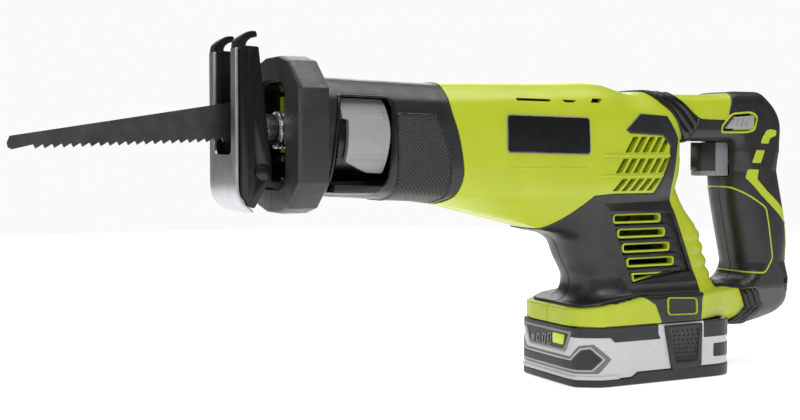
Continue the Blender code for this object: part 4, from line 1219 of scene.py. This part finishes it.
def trigger():
    """A dark finger piece over a light grey carrier."""
    side = rounded([(62.0, 156.0, 2), (63.4, 150, 3), (64.3, 144, 4), (62.4, 138.5, 2), (63.2, 136.7, 1),
                    (73.6, 136.7, 0), (73.6, 156.0, 0)], 3)
    finger = prism("trigger_finger", side, -10, 10)
    plan = rounded([(63.0, 0, 6), (65.5, -7, 6), (74, -10, 6), (90, -10, 0), (90, 10, 0), (74, 10, 6),
                    (65.5, 7, 6)], 5)
    combine(finger, prism("trigger_plan", [(x - 0.8, y) for x, y in plan], 130, 160, "Z"), "INTERSECT")
    bevel(finger, 0.9, 3, 60)
    shade(finger, 40)
    place(finger, "trigger", "dark_plastic", ("trigger",))
    carrier = prism("trigger_carrier", [(min(x, 84.5), y * 1.02) for x, y in plan], 133.0, 136.5, "Z")
    combine(carrier, slab("carrier_back", (73.8, 84.4), (-10.1, 10.1), (133.2, 156.0)), "UNION")
    combine(carrier, slab("carrier_arm", (84, 89.5), (-4, 4), (140, 148)), "UNION")
    combine(carrier, prism("spring_cup", arc((0, 144), 3.3, 0, 345, 24), 80.5, 91, "X"), "DIFFERENCE")
    bevel(carrier, 0.5, 3)
    shade(carrier)
    place(carrier, "trigger", "grey_plastic")


def lock_button():
    """The cross bar and its two wedge-shaped caps, each with slanted ribs."""
    cap = rounded([(72.4, 165.4, 1), (80.6, 173.4, 2), (97.6, 174.8, 2), (95.8, 165.6, 1.5)], 4)
    parts = [prism("bar", [(81.4, 165.6), (97.0, 165.6), (97.0, 172.6), (81.4, 172.6)], -17, 17)]
    for side in (-1, 1):
        near, far = across(side, 15.4, 21.6)
        parts.append(prism("cap", cap, near, far))
        near, far = across(side, 21.0, 22.3)
        for number in range(4):
            x = 79.5 + 4.1 * number
            parts.append(prism("rib", evenly_rounded([(x - 2.2, 167.0), (x - 0.8, 167.0), (x + 2.0, 172.6),
                                                      (x + 0.6, 172.6)], 0.4), near, far))
    for part in parts:
        bevel(part, 0.4, 3)
    button = joined("lock_button", parts)
    shade(button)
    place(button, "lock_off_button", "grey_plastic", ("lock_off_button",), "lever_grey")


# ---------------------------------------------------------------- marks on the housing

BADGE = evenly_rounded([(-111.4, 172.6), (-52.0, 171.2), (-51.6, 148.4), (-111.4, 149.8)], 2.4, 5)
PLAQUE = evenly_rounded([(8.6, 55.0), (32.6, 53.6), (33.2, 43.2), (9.4, 43.9)], 2.6, 5)


def marks():
    """Blank badge and plaque, the long groove and the creases between the vents."""
    skin("badge", BADGE, raised(BADGE, 0.8, 0.6), "black_plastic", (-113, -42, 146, -50, 175), 0.7,
         instead=(("badge_left",), ("badge_right",)))
    ribbon("badge_edge", BADGE, 0.8, "grey_plastic", (-114, -42, 146, -49, 175), 0.9, True, voxel=0.5)
    ribbon("plaque_edge", PLAQUE, 1.0, "lime_plastic", (6, -44, 41, 36, 57), 2.2, True, voxel=0.6)
    ribbon("belt_line", [(-110, 140.2), (-53, 139.4)], 1.6, "lime_plastic", (-112, -42, 137, -51, 143), 0.35)
    ribbon("vent_crease_upper", [(-39.7, 147.4), (16.5, 147.4)], 2.0, "lime_plastic",
           (-42, -42, 145, 18, 150), 1.1)
    ribbon("vent_crease_lower", [(-42, 134.4), (10, 134.4)], 2.0, "lime_plastic",
           (-44, -42, 132, 12, 137), 1.1)


def base_brim():
    """The dark step that the column stands on, a little smaller than the collar."""
    def solid(x, y, z):
        flat = outline_distance(BASE, x, np.abs(y)) + 4.6
        top = BASE_HIGH - 5.8 * np.clip((-8 - x) / 42, 0, 1) + 2.2
        return smooth_max(plate_distance(flat, z - (46 + top) / 2, (top - 46) / 2, 1.5), y + SEAM, 0.4)

    left = field_object("base_brim_left", solid, (-56, -38, 45), (20, 1, 60), 0.9)
    combine(left, prism("front_only", [(-60, 40), (4, 40), (-6, 70), (-60, 70)], -60, 10), "INTERSECT")
    for side in (left, mirrored_copy(left, "base_brim_right")):
        shade_from_field(side, solid)
        place(side, HOUSING, "dark_plastic")


# ---------------------------------------------------------------- battery

PACK = rounded([       # half of the plan, x and distance from the middle plane
    (-57, -10, 0), (-57, 21, 6), (-56, 31, 3), (-41, 40, 4), (57, 40, 7), (66.5, 34, 7), (66.5, -10, 0)], 3)
PACK_EDGE = [point for point in PACK if point[1] >= 0]
PACK_EDGE = [(-57, 0)] + PACK_EDGE + [(66.5, 0)]
PACK_TOP = 37.9
BATTERY = "battery"


def place_along(line, u, v):
    """How far along an open line its nearest point lies."""
    nearest = np.full(np.broadcast(u, v).shape, 1e9)
    along = np.zeros(nearest.shape)
    travelled = 0.0
    for (au, av), (bu, bv) in zip(line, line[1:]):
        eu, ev = bu - au, bv - av
        length = math.hypot(eu, ev)
        if length < 1e-9:
            continue
        pu, pv = u - au, v - av
        t = np.clip((pu * eu + pv * ev) / length ** 2, 0, 1)
        distance = (pu - t * eu) ** 2 + (pv - t * ev) ** 2
        closer = distance < nearest
        nearest = np.where(closer, distance, nearest)
        along = np.where(closer, travelled + t * length, along)
        travelled += length
    return along


def pack_wall(x, y):
    return outline_distance(PACK, x, np.abs(y))


def wrapped(name, region, proud, depth, slot, voxel=0.7, soften=0.6, body=BATTERY, replaced=(),
            material=None, ring=None):
    """A moulding round the battery. Its region is in distance from the front's middle, and z.

    With ring, only a line of that width along the region's edge is made.
    """
    def level(x, y, z):
        along = place_along(PACK_EDGE, x, np.abs(y))
        flat = outline_distance(region, along, z)
        if ring:
            flat = np.abs(flat + ring / 2) - ring / 2
        wall = pack_wall(x, y)
        return smooth_max(smooth_max(wall - proud, -(wall + depth), 0.3), flat, soften)

    low_z = min(v for _, v in region) - 1
    high_z = max(v for _, v in region) + 1
    made = field_object(name, level, (-60, -44, low_z), (70, 44, high_z), voxel)
    shade_from_field(made, level)
    place(made, body, slot, replaced, material)
    return made


def battery_case():
    """Tray, silver body, dark upper band, front label panel and gauge, each its own moulding."""
    tray = [(-9, 0), (-9, 5.2), (44, 5.8), (69.6, 5.8), (74.5, 8.8), (200, 8.8), (200, 0)]
    wrapped("battery_tray", tray, 0.5, 2.6, "dark_plastic", 0.8, 1.6, replaced=("battery_case_lower",))
    body = [(-9, 4.5), (-9, PACK_TOP), (200, PACK_TOP), (200, 4.5)]
    wrapped("battery_body", body, 0.0, 2.6, "silver_plastic", 0.8, 0.8)
    band = [(-9, 31.9), (50, 31.6), (53.4, 31.4), (56.5, 28.4), (93.4, 28.3), (91.4, 31.5), (91.2, 38.1),
            (-9, 38.1)]
    wrapped("battery_band", band, 0.35, 1.2, "dark_plastic")
    rear_band = [(128.6, 38.1), (128.6, 26.9), (200, 26.9), (200, 38.1)]
    wrapped("battery_rear_band", rear_band, 0.35, 1.2, "dark_plastic")
    rail = [(-9, 5.0), (-9, 7.3), (58, 7.5), (60.5, 5.0)]
    wrapped("battery_rail", rail, 1.2, 1.5, "silver_plastic", 0.6)
    label = [(-9, 19.3), (25.6, 19.3), (32.4, 26.9), (42, 27.8), (54.2, 18), (45.3, 8.9), (-9, 8.9)]
    wrapped("battery_label", label, 0.35, 1.0, "grey_plastic", 0.6, material="label_grey")
    inner = [(-9, 17.6), (26.4, 17.8), (33.4, 25.3), (40.2, 26.0), (49.4, 18.1), (41.4, 10.4), (-9, 10.4)]
    wrapped("battery_label_line", inner, 0.62, 0.6, "silver_plastic", 0.45, 0.3, ring=0.8)
    face = [(-9, 16.6), (26.9, 16.8), (34.2, 24.2), (39.6, 24.8), (47.6, 18.1), (40.8, 11.4), (-9, 11.4)]
    wrapped("battery_label_face", face, 0.5, 0.8, "dark_plastic", 0.6)
    gauge = [(-9, 35.6), (27.6, 35.6), (20.8, 21.6), (-9, 21.6)]
    wrapped("gauge_frame", gauge, 1.0, 1.2, "grey_plastic", 0.5, 0.4, ring=1.8)
    wrapped("gauge_face", gauge, 0.3, 0.8, "black_plastic", 0.6, 0.3)
    badge = evenly_rounded([(137, 13.5), (164, 13.5), (164, 22.5), (137, 22.5)], 1.2)
    wrapped("battery_badge", badge, 0.3, 0.6, "black_plastic", 0.5, 0.3)


def battery_top():
    """The cover inside the pack's rim, with the stem that plugs into the tool."""
    outline = [(x, y) for x, y in PACK if y >= 0]
    cover = outline + [(x, -y) for x, y in reversed(outline)]
    deck = prism("battery_deck", [(x * 0.965, y * 0.955) for x, y in cover], 33.5, 37.2, "Z")
    plan = rounded([(-20, -12.5, 4), (20, -12.5, 4), (20, 12.5, 4), (-20, 12.5, 4)])
    stem = prism("stem", plan, 34, 76, "Z")
    combine(deck, stem, "UNION")
    grooves = []
    for side in (-1, 1):
        grooves.append(prism("rail_groove", [(-16, side * 12.5 - 1.2), (16, side * 12.5 - 1.2),
                                             (16, side * 12.5 + 1.2), (-16, side * 12.5 + 1.2)], 44, 60, "Z"))
    for number in range(4):
        x = -12 + 8 * number
        grooves.append(prism("contact_slot", [(x - 1, -8), (x + 1, -8), (x + 1, 8), (x - 1, 8)], 62, 80, "Z"))
    combine(deck, joined("grooves", grooves), "DIFFERENCE")
    bevel(deck, 0.5, 2)
    shade(deck)
    place(deck, BATTERY, "dark_plastic", ("battery_case_upper",))
    contacts = []
    for number in range(4):
        x = -12 + 8 * number
        blade = [(x - 0.4, -7), (x + 0.4, -7), (x + 0.4, 7), (x - 0.4, 7)]
        contacts.append(prism("contact", blade, 61, 74, "Z"))
    blades = joined("battery_contacts", contacts)
    bevel(blades, 0.15, 1)
    shade(blades)
    place(blades, BATTERY, "copper")


def gauge():
    """Four charge bars that grow in height, and the button beside them."""
    bars = []
    for number in range(4):
        y = 19 - 6.6 * number
        height = 4.6 + 1.15 * number
        bars.append(prism(f"bar_{number}", evenly_rounded(
            [(y, 23.6), (y - 3.6, 23.6), (y - 4.2, 23.6 + height), (y - 0.6, 23.6 + height)], 0.6),
            -57.75, -56.5, "X"))
    rims = joined("gauge_bars", bars)
    holes = []
    for number in range(4):
        y = 19 - 6.6 * number
        height = 4.6 + 1.15 * number
        holes.append(prism(f"hole_{number}", evenly_rounded(
            [(y - 0.8, 24.4), (y - 2.9, 24.4), (y - 3.4, 22.8 + height), (y - 1.3, 22.8 + height)], 0.4),
            -58, -57.3, "X"))
    combine(rims, joined("holes", holes), "DIFFERENCE")
    bevel(rims, 0.15, 1)
    shade(rims)
    place(rims, BATTERY, "grey_plastic")
    low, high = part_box("gauge_button")
    low, high = low / MM, high / MM
    button = prism("gauge_button_cap", evenly_rounded(
        [(high.y, low.z), (low.y + 1.2, low.z), (low.y, high.z), (high.y, high.z)], 1.0), -58.4, high.x, "X")
    bevel(button, 0.45, 3)
    shade(button)
    place(button, "gauge_button", "lime_plastic", ("gauge_button",), "bright_lime")


def latches():
    """Tapered battery latches with a pebbled thumb pad sunk in a raised frame."""
    for side, name in ((-1, "left"), (1, "right")):
        frame_outline = rounded([(6.6, 37.0, 1.5), (37.4, 37.0, 1.5), (37.0, 8.0, 2), (12.9, 7.6, 2)], 3)
        pad_outline = rounded([(10.6, 34.6, 1.5), (34.9, 34.6, 1.5), (33.4, 12.8, 1.5), (15.2, 12.8, 1.5)], 3)
        low, high = across(side, 37.2, 41.7)
        body = prism(f"battery_latch_{name}_frame", frame_outline, low, high)
        low, high = across(side, 40.7, 43)
        combine(body, prism("sunk", pad_outline, low, high), "DIFFERENCE")
        bevel(body, 0.45, 3)
        shade(body)
        place(body, f"latch_{name}", "dark_plastic", (f"battery_latch_{name}",))
        studs = []
        for row in range(7):
            for column in range(6):
                z = 15.0 + 2.9 * row
                reach = 9.0 + 0.09 * (z - 13) * 1.6
                x = 24.2 - 0.04 * (34 - z) + (column - 2.5) * reach / 3.0 + (0.55 if row % 2 else -0.55)
                studs.append(diamond(x, side * 40.6, z, 1.35, 0.55 * side))
        pad = joined(f"battery_latch_{name}_pad", studs)
        shade(pad)
        place(pad, f"latch_{name}", "black_plastic")


def diamond(x, y, z, size, height):
    """A low four-sided stud on a side face."""
    points = [(x - size, y, z), (x, y, z - size), (x + size, y, z), (x, y, z + size),
              (x, y + height, z), (x, y - height, z)]
    faces = [(0, 1, 4), (1, 2, 4), (2, 3, 4), (3, 0, 4), (1, 0, 5), (2, 1, 5), (3, 2, 5), (0, 3, 5)]
    made = new_object("stud", points, faces)
    outward_faces(made)
    return made


# ---------------------------------------------------------------- the set

def camera_and_lights():
    data = bpy.data.cameras.new("camera")
    data.lens = 56.0
    data.sensor_width = 36.0
    data.clip_start = 0.01
    camera = bpy.data.objects.new("camera", data)
    bpy.context.scene.collection.objects.link(camera)
    camera.location = (-0.5061, -0.6836, 0.1544)
    camera.rotation_euler = (math.radians(87), 0, math.radians(-26.5))
    bpy.context.scene.camera = camera
    bpy.context.scene.view_settings.view_transform = "Standard"

    def softbox(name, place_at, aim, size, power):
        light = bpy.data.lights.new(name, "AREA")
        light.shape = "RECTANGLE"
        light.size, light.size_y = size
        light.energy = power
        lamp = bpy.data.objects.new(name, light)
        bpy.context.scene.collection.objects.link(lamp)
        lamp.location = place_at
        lamp.rotation_euler = (Vector(aim) - Vector(place_at)).to_track_quat("-Z", "Y").to_euler()

    centre = (-0.1, 0, 0.12)
    softbox("key_light", (-0.5, -1.1, 1.15), centre, (0.8, 0.6), 9.5)
    softbox("top_light", (0.0, 0.1, 1.3), centre, (1.6, 0.9), 15)
    softbox("front_light", (-1.6, -0.2, 0.4), centre, (0.4, 0.9), 3)
    softbox("rear_light", (0.4, 1.3, 0.8), centre, (1.2, 0.8), 7)
    world = bpy.data.worlds.new("studio")
    world.use_nodes = True
    tree = world.node_tree
    background = tree.nodes["Background"]
    background.inputs["Color"].default_value = (1, 1, 1, 1)
    seen = tree.nodes.new("ShaderNodeLightPath")
    strength = tree.nodes.new("ShaderNodeMapRange")
    strength.inputs["To Min"].default_value = 0.16
    strength.inputs["To Max"].default_value = 0.96
    tree.links.new(seen.outputs["Is Camera Ray"], strength.inputs["Value"])
    tree.links.new(strength.outputs["Result"], background.inputs["Strength"])
    bpy.context.scene.world = world


def floor():
    """A pale sheet that the battery stands on."""
    bpy.ops.mesh.primitive_circle_add(vertices=96, radius=1.5, fill_type="NGON")
    sheet = bpy.context.object
    sheet.name = "floor"
    nodes = Nodes("pale_floor")
    shades = nodes.mixed(nodes.ranged(nodes.noise(6, 3), 0, 1), (0.86, 0.86, 0.86, 1), (0.88, 0.88, 0.88, 1))
    nodes.link(shades, nodes.shader.inputs["Base Color"])
    nodes.set(Roughness=0.8, Emission_Color=(1, 1, 1, 1), Emission_Strength=0.5)
    sheet.data.materials.append(nodes.material)


# ---------------------------------------------------------------- all together

camera_and_lights()
floor()
dress_cad_nodes()
housing_shells()
column_cover()
slot_rims()
bridge_ribs()
grip_cover()
foot()
grip_lines()
nose_sleeve()
nose_inside()
release_lever()
front_boot()
clamp_coil()
shoe()
pivot_pin()
trigger()
lock_button()
marks()
base_brim()
battery_case()
battery_top()
gauge()
latches()
